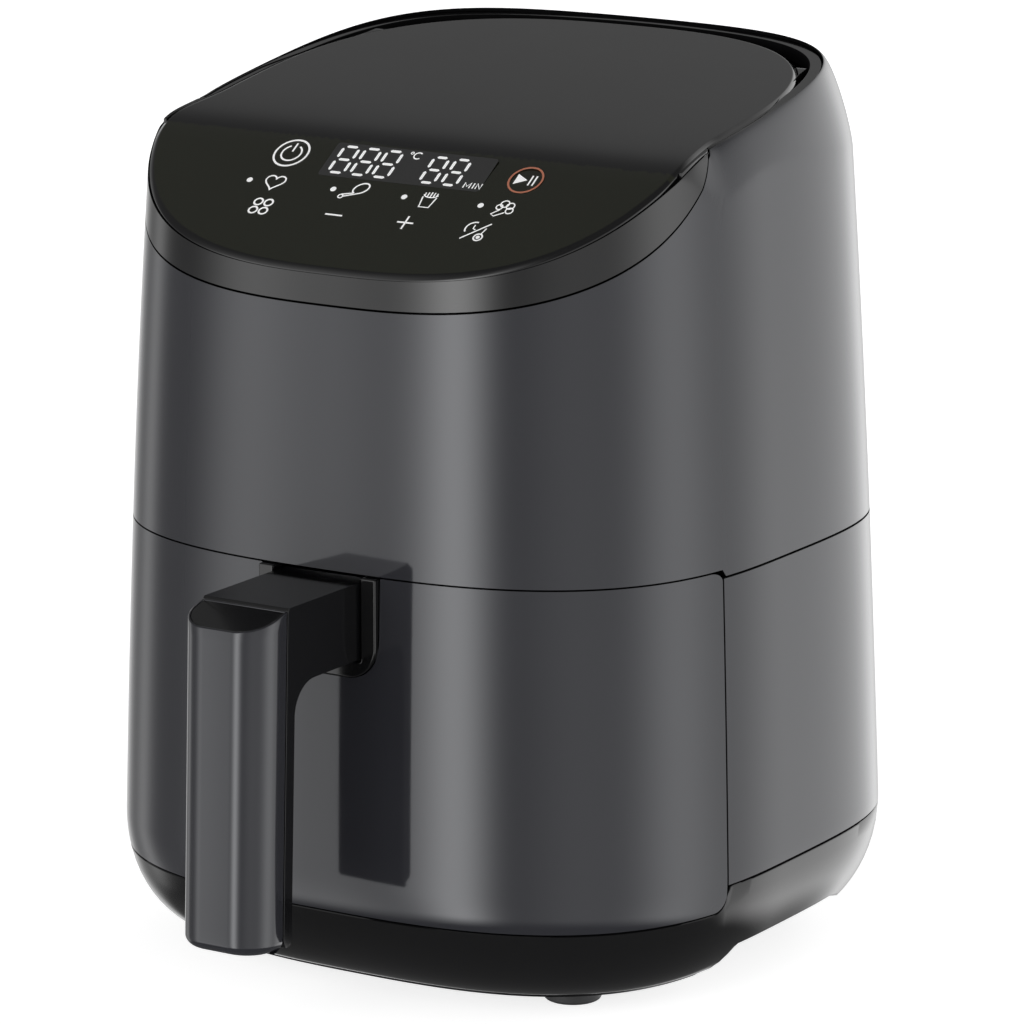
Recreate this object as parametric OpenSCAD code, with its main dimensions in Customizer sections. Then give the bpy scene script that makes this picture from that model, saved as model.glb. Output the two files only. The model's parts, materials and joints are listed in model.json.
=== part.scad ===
// Compact drawer air fryer, built as an assembly of its real pieces.
// Millimetres, +Z up, ground at z = 0, handle and drawer towards -Y.
// The origin is under the middle of the whole object's box.
// The body's plan centre stands body_y behind it.

/* [Body] */
// Half the body's width at the drawer's top seam
body_half_w = 100; // [98:0.5:104]
// Depth of the body's front half at that seam
front_depth = 90; // [89:0.5:93]
// Depth of the body's rear half at that seam
rear_depth = 95; // [94:0.5:99]
// Height of the drawer's top seam above the ground
seam_z = 130; // [129:0.5:132]
// Height of the side seam between the two housings
side_seam_z = 128; // [127:0.5:128]
// Height of the seam between the lower housing and the base
base_seam_z = 36.7; // [35:0.1:38]
// Height of the drawer front's lower edge
drawer_low_z = 29.3; // [28:0.1:31]
// Height of the base's underside, which is the height of the feet
base_z = 5; // [4:0.5:6]
// Wall thickness of the moulded housings
wall = 2.5; // [2:0.1:3]
// Gap left at each seam
gap = 0.4; // [0.3:0.1:0.6]

/* [Top] */
// Height of the top cover's plane above the body's centre
top_z = 253.2; // [252:0.1:255]
// Height that the sloped panel's plane would have there
panel_z = 272.6; // [271:0.1:274]
// Thickness of the top cover
cover_t = 2.5; // [2:0.1:3]
// Half-width of the top cover
cover_half_w = 85.3; // [84:0.1:85.3]
// How far back the top cover reaches from the body's centre
cover_rear = 80.8; // [79:0.1:81]
// How far the shoulder rolls in at the sides
shoulder_side = 4.8; // [4:0.1:5]
// How far it rolls in at the rear corners
shoulder_corner = 6.3; // [5:0.1:6.5]
// How far it rolls in at the rear
shoulder_end = 3.3; // [3:0.1:4]
// Height of the housing's sloping shoulder at the sides
shoulder_low_side = 12; // [8:0.5:14]
// Height of the shoulder at the rear corners
shoulder_low_corner = 27; // [18:0.5:28]
// Height of the shoulder at the rear
shoulder_low_end = 16; // [10:0.5:18]

/* [Drawer] */
// Half the basket's outer width
basket_half_w = 74; // [72:0.5:75]
// Height of the basket's rim
basket_top_z = 122; // [120:0.5:123]
// Height of the basket's underside
basket_low_z = 38; // [37:0.5:42]
// Thickness of the drawer front
drawer_t = 3; // [2.5:0.1:3.2]
// Height of the crisper plate above the basket's underside
plate_lift = 12; // [8:1:16]

/* [Handle] */
// Width of the handle
handle_w = 29; // [27:0.5:30]
// Depth of the front cover's D-shaped section
cover_d = 14.5; // [13:0.5:16]
// Length of the grip
grip_h = 99; // [94:1:100]
// Forward lean of the grip, in degrees
grip_lean = 2.2; // [1:0.1:3]
// Distance from the body's centre to the groove behind the grip's cap
groove_y = 127; // [125:0.5:129]

/* [Fans] */
// Radius of the convection fan
fan_r = 48; // [40:1:52]
// Radius of the cooling fan
cooling_r = 34; // [28:1:36]
// Radius of the motor's shaft
shaft_r = 2.5; // [2:0.25:3]

/* [Hidden] */
$fn = 48;

// Colours
dark_grey = "#58585c";
gloss_black = "#161618";
soft_black = "#242426";
steel = "#b8babd";
coated = "#2e2e30";
board_green = "#2c5a3a";

// Exponents of the plan outline, front half and rear half
front_pow = 2.81;
rear_pow = 3.87;
rim_pow = 2.7;
// Linear and square taper per 100 mm, above the seam and below it
side_up = [0.0398, 0.0135];
side_down = [0.0417, 0.0084];
rear_up = [0.0558, -0.0083];
rear_down = [0.0451, -0.0033];
// The base tucks in under this height, by this much at the sides and at the ends
tuck_z = 40;
tuck_side = 21;
tuck_end = 24.5;
// Slopes of the top cover's plane and of its sloped panel, and the bend between them
top_slope = 0.152;
panel_slope = 0.66;
bend_blend = 3;
// Where the front band ends in a point on each side
tip_y = -24;
tip_z = 250;
// Height at which the depth of a column of points is read for the edges round the top
edge_ref_z = 230;
// Front band: height of its lower edge at the front, and how that edge rises
band_low_z = 206;
band_slope = 0.48;
band_curve = 9.7e-7;
band_front = 86.3;
// The drawer's side edge
edge_y = 31;
edge_turn = 12.57;
edge_gap_turn = 0.35;

function taper(k, h) = 1 - k[0] * h - k[1] * h * h;
function side_scale(z) = let(h = (z - seam_z) / 100) h > 0 ? taper(side_up, h) : taper(side_down, h);
function rear_scale(z) = let(h = (z - seam_z) / 100) h > 0 ? taper(rear_up, h) : taper(rear_down, h);
function tuck(z) = let(u = max(0, min(1, (tuck_z - z) / (tuck_z - base_z)))) 1 - sqrt(1 - u * u);
function half_w(z) = body_half_w * side_scale(z) - tuck_side * tuck(z);
function depth(z, front) = (front ? front_depth * side_scale(z) : rear_depth * rear_scale(z))
    - tuck_end * tuck(z);
function power(v, e) = sign(v) * pow(abs(v), e);
// Point of a plan outline at turn t, with half-width a, depth b and exponent p
function outline(t, a, b, p) = [a * power(cos(t), 2 / p), b * power(sin(t), 2 / p)];
// Point of the body's outer surface at turn t and height z, moved in by inset
function body_xy(t, z, inset) = let(front = sin(t) < 0)
    outline(t, half_w(z) - inset, depth(z, front) - inset, front ? front_pow : rear_pow);
function body_point(t, z, inset) = let(q = body_xy(t, z, inset)) [q[0], q[1], z];
// Half-width at depth y of an outline with half-width w, depth d and exponent p
function outline_w(y, w, d, p) = w * pow(max(0, 1 - pow(min(1, abs(y) / d), p)), 1 / p);

// Height of the top surface at depth y: two planes with a soft bend between them
function top_h(y) = let(a = top_z + top_slope * y, b = panel_z + panel_slope * y)
    (a + b - sqrt((a - b) * (a - b) + bend_blend * bend_blend)) / 2;
// Height of the front band's lower edge at depth y
function band_low(y) = let(d = max(0, y + band_front))
    min(band_low_z + band_slope * d + band_curve * pow(d, 4), tip_z);

// The same edge, kept under the top cover near the band's pointed ends
function band_edge(y) = min(band_low(y), top_h(y) - cover_t - 1.4);

// Evenly spaced values from a to b, in n steps
function steps(a, b, n) = [for (i = [0:n]) a + (b - a) * i / n];
// Turns of the front columns, which the drawer covers, and of the rear ones
front_right_ts = steps(-90, -edge_turn, 18);
front_left_ts = steps(180 + edge_turn, 270 - 77.43 / 18, 17);
rear_ts = steps(-edge_turn + edge_gap_turn, 180 + edge_turn - edge_gap_turn, 42);
all_ts = concat(front_right_ts, rear_ts, front_left_ts);
drawer_ts = steps(180 + edge_turn, 360 - edge_turn, 44);
function column_y(t) = body_xy(t, edge_ref_z, 0)[1];
// Amount that runs from side at the sides to end at the rear, plus bulge at the corners
function round_back(t, side, end, bulge) =
    let(q = body_xy(t, edge_ref_z, 0), f = atan2(q[1], q[0]))
    side + (end - side) * pow(sin(f), 2) + bulge * pow(sin(2 * f), 2);
function shoulder_in(t) = round_back(
    t, shoulder_side, shoulder_end, shoulder_corner - (shoulder_side + shoulder_end) / 2
);
function shoulder_h(t) = round_back(
    t, shoulder_low_side, shoulder_low_end,
    shoulder_low_corner - (shoulder_low_side + shoulder_low_end) / 2
);
// Share of the roll reached at height s of the shoulder: a slope that rounds over at the top
function shoulder_share(s) = 0.76 * pow(s, 1.45) + 0.24 * (1 - sqrt(1 - pow(s, 7)));
function is_front(t) = let(s = sin(t)) s <= -sin(edge_turn) + 0.0001;

// The whole object's box, and the body's place in it
grip_drop = grip_h * sin(grip_lean);
handle_front = groove_y + cover_d * cos(grip_lean) + grip_drop;
rear_reach = rear_depth * rear_scale(tuck_z);
body_y = (handle_front - rear_reach) / 2;

// Heights inside
chamber_low_z = seam_z - 0.8;
chamber_top_z = 186;
shield_top_z = 192;
deck_z = 198;
deck_t = 2;
motor_r = 26;
motor_h = 20;
chamber_r = 79;
shield_r = 83;
// The fans, the heater and the basket share this centre
core_y = 2;
basket_corner = 22;
basket_wall = 1.5;
rim_lip = 3.5;
liner_half_w = 80.5;
liner_t = 1;
liner_low_z = 34;
liner_front = -27;

// Rounded rectangle from [-w, -d] to [w, d] with corner radius r
function round_rect(w, d, r, n = 8) = [
    for (q = [0:3], a = steps(0, 90, n))
        let(sx = (q == 0 || q == 3) ? 1 : -1, sy = q < 2 ? 1 : -1)
            [sx * (w - r) + r * cos(q * 90 + a), sy * (d - r) + r * sin(q * 90 + a)]
];

// Everything is drawn about the body's plan centre and moved into the object's frame here
module placed() {
    translate([0, body_y, 0]) children();
}

// Solid wall between two sheets of points, given as rows from low to high.
// Each row runs anticlockwise, and round closes the rows into rings.
module sheet_wall(outer, inner, round = false) {
    nk = len(outer);
    ni = len(outer[0]);
    last = round ? ni - 1 : ni - 2;
    points = concat([for (row = outer) each row], [for (row = inner) each row]);
    half = nk * ni;
    function o(k, i) = k * ni + i % ni;
    function n(k, i) = half + o(k, i);
    faces = concat(
        [for (k = [0:nk - 2], i = [0:last]) each [
            [o(k, i), o(k + 1, i), o(k + 1, i + 1)],
            [o(k, i), o(k + 1, i + 1), o(k, i + 1)],
            [n(k, i), n(k + 1, i + 1), n(k + 1, i)],
            [n(k, i), n(k, i + 1), n(k + 1, i + 1)]
        ]],
        [for (i = [0:last]) each [
            [o(0, i), o(0, i + 1), n(0, i + 1)],
            [o(0, i), n(0, i + 1), n(0, i)],
            [o(nk - 1, i), n(nk - 1, i + 1), o(nk - 1, i + 1)],
            [o(nk - 1, i), n(nk - 1, i), n(nk - 1, i + 1)]
        ]],
        round ? [] : [for (k = [0:nk - 2]) each [
            [o(k, 0), n(k, 0), n(k + 1, 0)],
            [o(k, 0), n(k + 1, 0), o(k + 1, 0)],
            [o(k, ni - 1), n(k + 1, ni - 1), n(k, ni - 1)],
            [o(k, ni - 1), o(k + 1, ni - 1), n(k + 1, ni - 1)]
        ]]
    );
    polyhedron(points, faces, convexity = 8);
}

// Solid skinned over a stack of rings, closed by flat ends
module ring_stack(rings) {
    nk = len(rings);
    ni = len(rings[0]);
    function p(k, i) = k * ni + i % ni;
    faces = concat(
        [[for (i = [0:ni - 1]) i]],
        [[for (i = [ni - 1:-1:0]) p(nk - 1, i)]],
        [for (k = [0:nk - 2], i = [0:ni - 1]) each [
            [p(k, i), p(k + 1, i), p(k + 1, i + 1)],
            [p(k, i), p(k + 1, i + 1), p(k, i + 1)]
        ]]
    );
    polyhedron([for (r = rings) each r], faces, convexity = 8);
}

// ---- Housings ----

wall_rows = 7;
shoulder_steps = [0, 0.35, 0.62, 0.82, 0.94, 1];
round_rows = len(shoulder_steps) - 1;

// Row k of the upper housing at turn t: up the wall, then over the shoulder.
// The inner sheet follows at the wall's thickness t_in.
function housing_point(t, k, t_in) =
    let(
        y = column_y(t),
        ahead = y < tip_y,
        grow = max(0, min(1, (y - tip_y) / 20)),
        r = ahead ? 1 : 4 + (shoulder_h(t) - 4) * grow,
        roll = ahead ? 1 : shoulder_in(t),
        low = (is_front(t) ? seam_z : side_seam_z) + gap / 2,
        high = (ahead ? band_edge(y) - band_gap : top_h(y)) - r,
        s = k <= wall_rows ? 0 : shoulder_steps[k - wall_rows],
        wall_z = k <= wall_rows ? low + (high - low) * k / wall_rows : high,
        z = wall_z + (r - (r > 3 ? 0 : 0.7 * t_in / wall)) * s
    )
    body_point(t, z, t_in + max(roll - t_in, 0.3) * shoulder_share(s));

band_gap = 0.6;
vent_half_w = 36;
vent_low_z = 160;
vent_high_z = 192;

module upper_housing() {
    color(dark_grey)
        placed()
            difference() {
                sheet_wall(
                    [for (k = [0:wall_rows + round_rows]) [for (t = all_ts) housing_point(t, k, 0)]],
                    [for (k = [0:wall_rows + round_rows]) [for (t = all_ts) housing_point(t, k, wall)]],
                    round = true
                );
                translate([-vent_half_w, 60, vent_low_z])
                    cube([2 * vent_half_w, 60, vent_high_z - vent_low_z]);
            }
}

gland_x = 55;
gland_z = 58;
gland_r = 8;
gland_bore_r = 3.5;

module lower_housing() {
    zs = steps(base_seam_z + gap / 2, side_seam_z - gap / 2, 6);
    color(dark_grey)
        placed()
            difference() {
                sheet_wall(
                    [for (z = zs) [for (t = rear_ts) body_point(t, z, 0)]],
                    [for (z = zs) [for (t = rear_ts) body_point(t, z, wall)]]
                );
                translate([gland_x, 60, gland_z])
                    rotate([-90, 0, 0])
                        cylinder(r = gland_r, h = 60);
            }
}

// ---- Base ----

arch_z = 15;
arch_flat = [-15, 32.5];
arch_ends = [-19.5, 59];
arch_depth = 14;
base_floor_t = 3;

// Height of the base's lower edge: raised into a hand recess on each side
function arch(t) = let(y = body_xy(t, base_z, 0)[1])
    (y <= arch_ends[0] || y >= arch_ends[1]) ? base_z
    : y < arch_flat[0] ? base_z + (arch_z - base_z) * (y - arch_ends[0]) / (arch_flat[0] - arch_ends[0])
    : y > arch_flat[1] ? base_z + (arch_z - base_z) * (arch_ends[1] - y) / (arch_ends[1] - arch_flat[1])
    : arch_z;
function base_rim(t) = (is_front(t) ? drawer_low_z : base_seam_z) - gap / 2;
function base_ring(f, inset, lift) = [
    for (t = all_ts)
        let(low = arch(t) + lift, z = low + (base_rim(t) - low) * f)
            body_point(t, z, inset)
];
function flat_ring(z_add, inset) = [
    for (t = all_ts)
        let(z = arch(t) + z_add, q = body_xy(t, base_z + 1, inset)) [q[0], q[1], z]
];
function plate_ring(z, inset) = [
    for (t = all_ts)
        let(q = body_xy(t, base_z + 1, inset)) [q[0], q[1], z]
];

module base_shell() {
    low_steps = [0.02, 0.1, 0.25, 0.45, 0.7];
    color(gloss_black)
        placed()
            ring_stack(concat(
                [plate_ring(base_z, arch_depth + 0.6)],
                [flat_ring(0.2, arch_depth)],
                [flat_ring(0, 1)],
                [for (f = low_steps) base_ring(f, 0, 0)],
                [base_ring(1, 0, 0)],
                [base_ring(1, wall, 0)],
                [for (i = [len(low_steps) - 1:-1:1]) base_ring(low_steps[i], wall, base_floor_t)],
                [flat_ring(base_floor_t + 0.6, wall + 2)],
                [flat_ring(base_floor_t, arch_depth + wall)],
                [plate_ring(base_z + base_floor_t, arch_depth + wall + 0.8)]
            ));
}

foot_r = 8.5;
foot_x = 58;
foot_ys = [-46, 55];

module foot(x, y) {
    color(soft_black)
        placed()
            translate([x, y, 0])
                rotate_extrude()
                    polygon([
                        [0, 0], [foot_r - 1.2, 0], [foot_r - 0.4, 0.4], [foot_r, 1.2],
                        [foot_r, base_z - 1], [foot_r - 0.6, base_z], [0, base_z]
                    ]);
}
module foot_front_left() { foot(-foot_x, foot_ys[0]); }
module foot_front_right() { foot(foot_x, foot_ys[0]); }
module foot_rear_left() { foot(-foot_x, foot_ys[1]); }
module foot_rear_right() { foot(foot_x, foot_ys[1]); }

screw_spots = [[-45, -20], [45, -20], [-45, 30], [45, 30], [0, -50], [0, 60]];

module base_screws() {
    color(steel)
        placed()
            for (s = screw_spots)
                translate([s[0], s[1], base_z - 1.6]) {
                    cylinder(r = 3.2, h = 1.6);
                    cylinder(r = 1.6, h = 12);
                }
}

// ---- Front band, cover and rim ----

band_t = 2.4;

module front_band() {
    tip_turn = asin(pow(-tip_y / depth(edge_ref_z, true), front_pow / 2)) + 0.3;
    ts = steps(180 + tip_turn, 360 - tip_turn, 64);
    function edge(t, f, inset) =
        let(
            y = column_y(t),
            low = band_edge(y),
            z = low + (top_h(y) - cover_t - gap - low) * f
        )
        body_point(t, z, inset);
    color(gloss_black)
        placed()
            sheet_wall(
                [for (f = [0, 0.5, 1]) [for (t = ts) edge(t, f, 0)]],
                [for (f = [0, 0.5, 1]) [for (t = ts) edge(t, f, band_t)]]
            );
}

// The cover lies over the front band, and narrows behind the band's pointed ends
function cover_inset(y) =
    let(f = max(0, min(1, (y - tip_y + 24) / 36)))
    gap + (half_w(top_h(0)) - cover_half_w - gap) * f * f * (3 - 2 * f);
// Half-width of the top cover at depth y
function cover_w(y) =
    let(z = top_h(y), inset = cover_inset(y))
    y < 0
        ? outline_w(y, half_w(z) - inset, depth(z, true) - inset, front_pow)
        : outline_w(y, cover_half_w, cover_rear, rim_pow);

cover_front = 85.4;
cover_stations = concat(
    [for (a = steps(3, 90, 18)) -cover_front * cos(a)],
    [for (a = steps(6, 87, 16)) cover_rear * sin(a)]
);

module top_cover() {
    // Each station is a thin upright rectangle across the cover
    rings = [for (y = cover_stations) let(w = cover_w(y), z = top_h(y)) [
        [-w, y, z - cover_t], [w, y, z - cover_t], [w, y, z - 0.6], [w - 0.8, y, z],
        [-w + 0.8, y, z], [-w, y, z - 0.6]
    ]];
    color(gloss_black)
        placed()
            ring_stack([for (i = [len(rings) - 1:-1:0]) rings[i]]);
}

rim_rear_t = 3.2;
rim_side_t = 1.8;
rim_h = 4;
rim_clear = 0.25;
rim_start_y = -9;

module top_rim() {
    start = -asin(pow(-rim_start_y / depth(edge_ref_z, true), front_pow / 2));
    ts = steps(start, 180 - start, 60);
    // A row of the rim: outer edge or inner edge, drop below the top plane, chamfer c
    function row(t, t_in, drop, c) =
        let(
            y = column_y(t),
            inset = shoulder_in(t) + (t_in > 0 ? round_back(t, rim_side_t, rim_rear_t, 0) : rim_clear + c)
        )
        body_point(t, top_h(y) - drop, inset);
    color(gloss_black)
        placed()
            sheet_wall(
                [for (d = [[rim_h, 0], [0.6, 0], [0, 0.5]]) [for (t = ts) row(t, 0, d[0], d[1])]],
                [for (d = [[rim_h, 0], [0.6, 0], [0, 0.5]]) [for (t = ts) row(t, 1, d[0], 0)]]
            );
}

module intake_grille() {
    tilt = atan(top_slope);
    function arc_pts(w, d, a, b, n) = [for (t = steps(a, b, n)) outline(t, w, d, rim_pow)];
    color(soft_black)
        placed()
            translate([0, 0, top_z - rim_h - 3])
                rotate([tilt, 0, 0])
                    linear_extrude(1.6)
                        difference() {
                            polygon(concat(
                                arc_pts(cover_half_w - 4, cover_rear + 1.6, 25, 155, 30),
                                arc_pts(cover_half_w - 12, cover_rear - 6, 155, 25, 30)
                            ));
                            for (i = [-8:8])
                                translate([i * 6 - 1.5, cover_rear - 4])
                                    square([3, 3.6]);
                        }
}

// ---- Control panel electronics ----

panel_tilt = atan(panel_slope);
panel_mid_y = -61;
panel_mid_z = top_h(panel_mid_y) - cover_t / cos(panel_tilt);

// Frame lying under the sloped panel, z along its normal
module under_panel() {
    placed()
        translate([0, panel_mid_y, panel_mid_z])
            rotate([panel_tilt, 0, 0])
                children();
}

module led_display() {
    color("#303034")
        under_panel()
            translate([-25, 1, -5.2])
                cube([50, 15, 5]);
}

board_drop = 7;

module control_board() {
    color(board_green)
        under_panel()
            translate([0, 0, -board_drop])
                linear_extrude(1.6)
                    polygon([[-62, 16], [-62, 4], [-48, -12], [48, -12], [62, 4], [62, 16]]);
}

// Touch spots: one under each symbol of the panel
spring_spots = [[-48, 9], [-46, -2], [-30, -6], [-10, -6], [10, -6], [30, -6], [46, -2], [48, 9]];

module touch_springs() {
    color(steel)
        under_panel()
            for (s = spring_spots)
                translate([s[0], s[1], -board_drop + 1.6])
                    difference() {
                        cylinder(r = 3, h = board_drop - 2);
                        translate([0, 0, -1])
                            cylinder(r = 2.2, h = board_drop);
                    }
}

// ---- Rear pieces ----

module rear_vent_grille() {
    fit = 0.3;
    low_y = rear_depth * rear_scale(vent_low_z);
    high_y = rear_depth * rear_scale(vent_high_z);
    lean = atan((low_y - high_y) / (vent_high_z - vent_low_z));
    h = vent_high_z - vent_low_z - 2 * fit;
    color(soft_black)
        placed()
            translate([0, low_y - 0.6, vent_low_z + fit])
                rotate([lean, 0, 0])
                    rotate([90, 0, 0])
                        linear_extrude(2)
                            difference() {
                                translate([-vent_half_w + fit, 0])
                                    square([2 * (vent_half_w - fit), h - 0.1]);
                                for (i = [0:4], s = [-1, 1])
                                    translate([s * 17 - 14, 4 + i * 5.2])
                                        square([28, 2.4]);
                            }
}

gland_flange_r = 10.5;
gland_l = 11;

module cord_gland() {
    color(soft_black)
        placed()
            translate([gland_x, rear_reach - 0.6 - gland_l, gland_z])
                rotate([-90, 0, 0])
                    difference() {
                        union() {
                            cylinder(r = gland_r - 0.3, h = gland_l);
                            cylinder(r = gland_flange_r, h = 2.8);
                        }
                        translate([0, 0, -1])
                            cylinder(r = gland_bore_r, h = gland_l + 2);
                    }
}

// ---- Oven cavity ----

module front_frame() {
    frame_t = 2.4;
    low = base_seam_z - 2;
    high = side_seam_z - 1;
    top_w = 94;
    color(soft_black)
        placed()
            translate([0, liner_front, 0])
                rotate([90, 0, 0])
                    linear_extrude(frame_t)
                        difference() {
                            translate([-top_w, low])
                                square([2 * top_w, high - low]);
                            translate([-liner_half_w, low + 1.6])
                                square([2 * liner_half_w, high - low]);
                        }
}

liner_rear = 81;

module cavity_liner() {
    mid_y = (liner_rear + liner_front) / 2 - 20;
    half_d = (liner_rear - liner_front) / 2 + 20;
    high = side_seam_z - 1;
    color(steel)
        placed()
            difference() {
                translate([0, mid_y, liner_low_z])
                    linear_extrude(high - liner_low_z)
                        polygon(round_rect(liner_half_w + liner_t, half_d + liner_t, basket_corner + liner_t));
                translate([0, mid_y, liner_low_z + liner_t])
                    linear_extrude(high)
                        polygon(round_rect(liner_half_w, half_d, basket_corner));
                translate([-100, liner_front - 100, liner_low_z - 1])
                    cube([200, 100, 120]);
                translate([0, liner_rear - 2, plunger_z])
                    rotate([-90, 0, 0])
                        cylinder(r = plunger_r + 1, h = 6);
            }
}

rail_z = basket_top_z - 2.2;

// L-shaped runner that the basket's rim slides on, for the side s
module rail(s) {
    color(steel)
        placed()
            translate([0, liner_front + 1, 0])
                rotate([90, 0, 180])
                    linear_extrude(78)
                        scale([-s, 1])
                            polygon([
                                [basket_half_w + 1, rail_z - 1.2], [liner_half_w, rail_z - 1.2 - 12],
                                [liner_half_w, rail_z], [basket_half_w + 1, rail_z]
                            ]);
}
module rail_left() { rail(-1); }
module rail_right() { rail(1); }

module chamber_cup(r, low, high, t, hole_r) {
    translate([0, core_y, 0])
        rotate_extrude($fn = 96)
            polygon([
                [r, low], [r + t, low], [r + t, high - 6], [r - 4, high], [hole_r, high],
                [hole_r, high - t], [r - 4.4, high - t], [r, high - 6.6]
            ]);
}

probe_spot = [56, 22];
element_rings = [40, 56];
terminal_spots = [for (s = [-1, 1]) [s * 8, sqrt(element_rings[1] * element_rings[1] - 64)]];

module service_holes(low) {
    for (s = concat([probe_spot], terminal_spots))
        translate([s[0], core_y + s[1], low])
            cylinder(r = 3.4, h = 30);
}

module heating_chamber() {
    color(steel)
        placed()
            difference() {
                chamber_cup(chamber_r, chamber_low_z, chamber_top_z, 0.8, 6);
                service_holes(chamber_top_z - 12);
            }
}

module heat_shield() {
    color(steel)
        placed()
            difference() {
                chamber_cup(shield_r, chamber_low_z, shield_top_z, 0.8, 8);
                service_holes(shield_top_z - 12);
            }
}

element_z = 152;
element_tube_r = 3;

module heating_element() {
    color("#5c5048")
        placed()
            translate([0, core_y, 0]) {
                for (r = element_rings)
                    translate([0, 0, element_z])
                        rotate_extrude($fn = 96)
                            translate([r, 0])
                                circle(element_tube_r, $fn = 24);
                for (s = terminal_spots)
                    translate([s[0], s[1], element_z])
                        cylinder(r = 2.6, h = shield_top_z + 4 - element_z);
                translate([0, -element_rings[0], element_z])
                    rotate([90, 0, 0])
                        cylinder(r = 2.6, h = element_rings[1] - element_rings[0]);
            }
}

module element_clips() {
    color(steel)
        placed()
            translate([0, core_y, 0])
                for (a = [30, 150, 270])
                    rotate([0, 0, a])
                        translate([64, 0, 0])
                            difference() {
                                translate([-6, -3, element_z - 3])
                                    cube([7, 6, chamber_top_z - 0.8 - element_z + 3]);
                                translate([-7.6, -4, element_z - 5])
                                    cube([7.4, 8, chamber_top_z - element_z + 2]);
                            }
}

guard_z = 140;

module element_guard() {
    color(steel)
        placed()
            translate([0, core_y, guard_z]) {
                for (r = [18, 34, 50, 66])
                    rotate_extrude($fn = 96)
                        translate([r, 0])
                            circle(1, $fn = 24);
                for (a = [45, 135])
                    rotate([0, 0, a])
                        translate([-chamber_r + 0.2, 0, 0])
                            rotate([0, 90, 0])
                                cylinder(r = 1.2, h = 2 * chamber_r - 0.4);
            }
}

module temperature_sensor() {
    color(steel)
        placed()
            translate([probe_spot[0], core_y + probe_spot[1], 0]) {
                translate([0, 0, 160])
                    cylinder(r = 2, h = shield_top_z + 1 - 160);
                translate([0, 0, shield_top_z + 0.1])
                    cylinder(r = 5, h = 2.4);
            }
}

module thermal_fuse() {
    color("ivory")
        placed()
            translate([-46, core_y + 20, shield_top_z + 0.05]) {
                translate([-8, -5, 0])
                    cube([16, 10, 1]);
                translate([-7, 0, 3])
                    rotate([0, 90, 0])
                        cylinder(r = 2.1, h = 14);
            }
}

// ---- Motor and fans ----

spacer_spots = [for (a = [45:90:315]) [70 * cos(a), 70 * sin(a)]];
motor_bolts = [for (a = [0:90:270]) [30 * cos(a), 30 * sin(a)]];

module deck_spacers() {
    color(steel)
        placed()
            translate([0, core_y, shield_top_z])
                for (s = spacer_spots)
                    translate([s[0], s[1], 0])
                        cylinder(r = 4, h = deck_z - shield_top_z);
}

module motor_deck() {
    color(steel)
        placed()
            translate([0, core_y, deck_z])
                difference() {
                    cylinder(r = 82, h = deck_t, $fn = 96);
                    translate([0, 0, -1])
                        cylinder(r = 6, h = deck_t + 2);
                    for (s = motor_bolts)
                        translate([s[0], s[1], -1])
                            cylinder(r = 2.2, h = deck_t + 2);
                    for (a = [60:60:300])
                        rotate([0, 0, a])
                            translate([46, -6, -1])
                                cube([16, 12, deck_t + 2]);
                }
}

module fan_motor() {
    color("#8a8c90")
        placed()
            translate([0, core_y, deck_z + deck_t])
                difference() {
                    union() {
                        cylinder(r = 34, h = 2);
                        cylinder(r = motor_r, h = motor_h);
                        cylinder(r = 9, h = motor_h + 3);
                    }
                    translate([0, 0, -1])
                        cylinder(r = shaft_r + 0.05, h = motor_h + 6);
                    for (s = motor_bolts)
                        translate([s[0], s[1], -1])
                            cylinder(r = 2.2, h = 4);
                }
}

module motor_screws() {
    color(steel)
        placed()
            translate([0, core_y, deck_z + deck_t + 2])
                for (s = motor_bolts)
                    translate([s[0], s[1], 0]) {
                        translate([0, 0, -6.5])
                            cylinder(r = 2, h = 7);
                        cylinder(r = 3.4, h = 2.2);
                    }
}

fan_z = 170;
cooling_z = 229;

module motor_shaft() {
    color(steel)
        placed()
            translate([0, core_y, fan_z - 7])
                cylinder(r = shaft_r, h = cooling_z + 7 - fan_z + 7);
}

module fan_nut() {
    color(steel)
        placed()
            translate([0, core_y, fan_z - 5])
                difference() {
                    cylinder(r = 5, h = 4, $fn = 6);
                    translate([0, 0, -1])
                        cylinder(r = shaft_r, h = 6);
                }
}

module convection_fan() {
    color(steel)
        placed()
            translate([0, core_y, fan_z])
                difference() {
                    union() {
                        cylinder(r = fan_r, h = 1);
                        translate([0, 0, -1])
                            cylinder(r = 8, h = 8);
                        for (a = [0:30:330])
                            rotate([0, 0, a])
                                translate([14, -0.5, 0.5])
                                    cube([fan_r - 15, 1, 9]);
                    }
                    translate([0, 0, -2])
                        cylinder(r = shaft_r, h = 14);
                }
}

module cooling_fan() {
    color(soft_black)
        placed()
            translate([0, core_y, cooling_z])
                difference() {
                    union() {
                        cylinder(r = 9, h = 6);
                        for (a = [0:45:315])
                            rotate([0, 0, a])
                                translate([7, 0, 3])
                                    rotate([28, 0, 0])
                                        translate([0, -5, -0.6])
                                            cube([cooling_r - 8, 10, 1.2]);
                    }
                    translate([0, 0, -1])
                        cylinder(r = shaft_r, h = 12);
                }
}

// ---- Power electronics ----

board_x = 40;
board_y = -34;
board_lift = 6;

module power_board() {
    color(board_green)
        placed()
            translate([board_x, board_y, deck_z + deck_t + board_lift]) {
                cube([30, 62, 1.6]);
                translate([4, 6, 1])
                    cube([14, 18, 14]);
                translate([20, 34, 1])
                    cylinder(r = 5, h = 16);
                translate([4, 40, 1])
                    cube([11, 16, 11]);
            }
}

module board_posts() {
    color("ivory")
        placed()
            for (x = [board_x + 3, board_x + 27], y = [board_y + 3, board_y + 59])
                translate([x, y, deck_z + deck_t])
                    cylinder(r = 2.2, h = board_lift);
}

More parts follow.
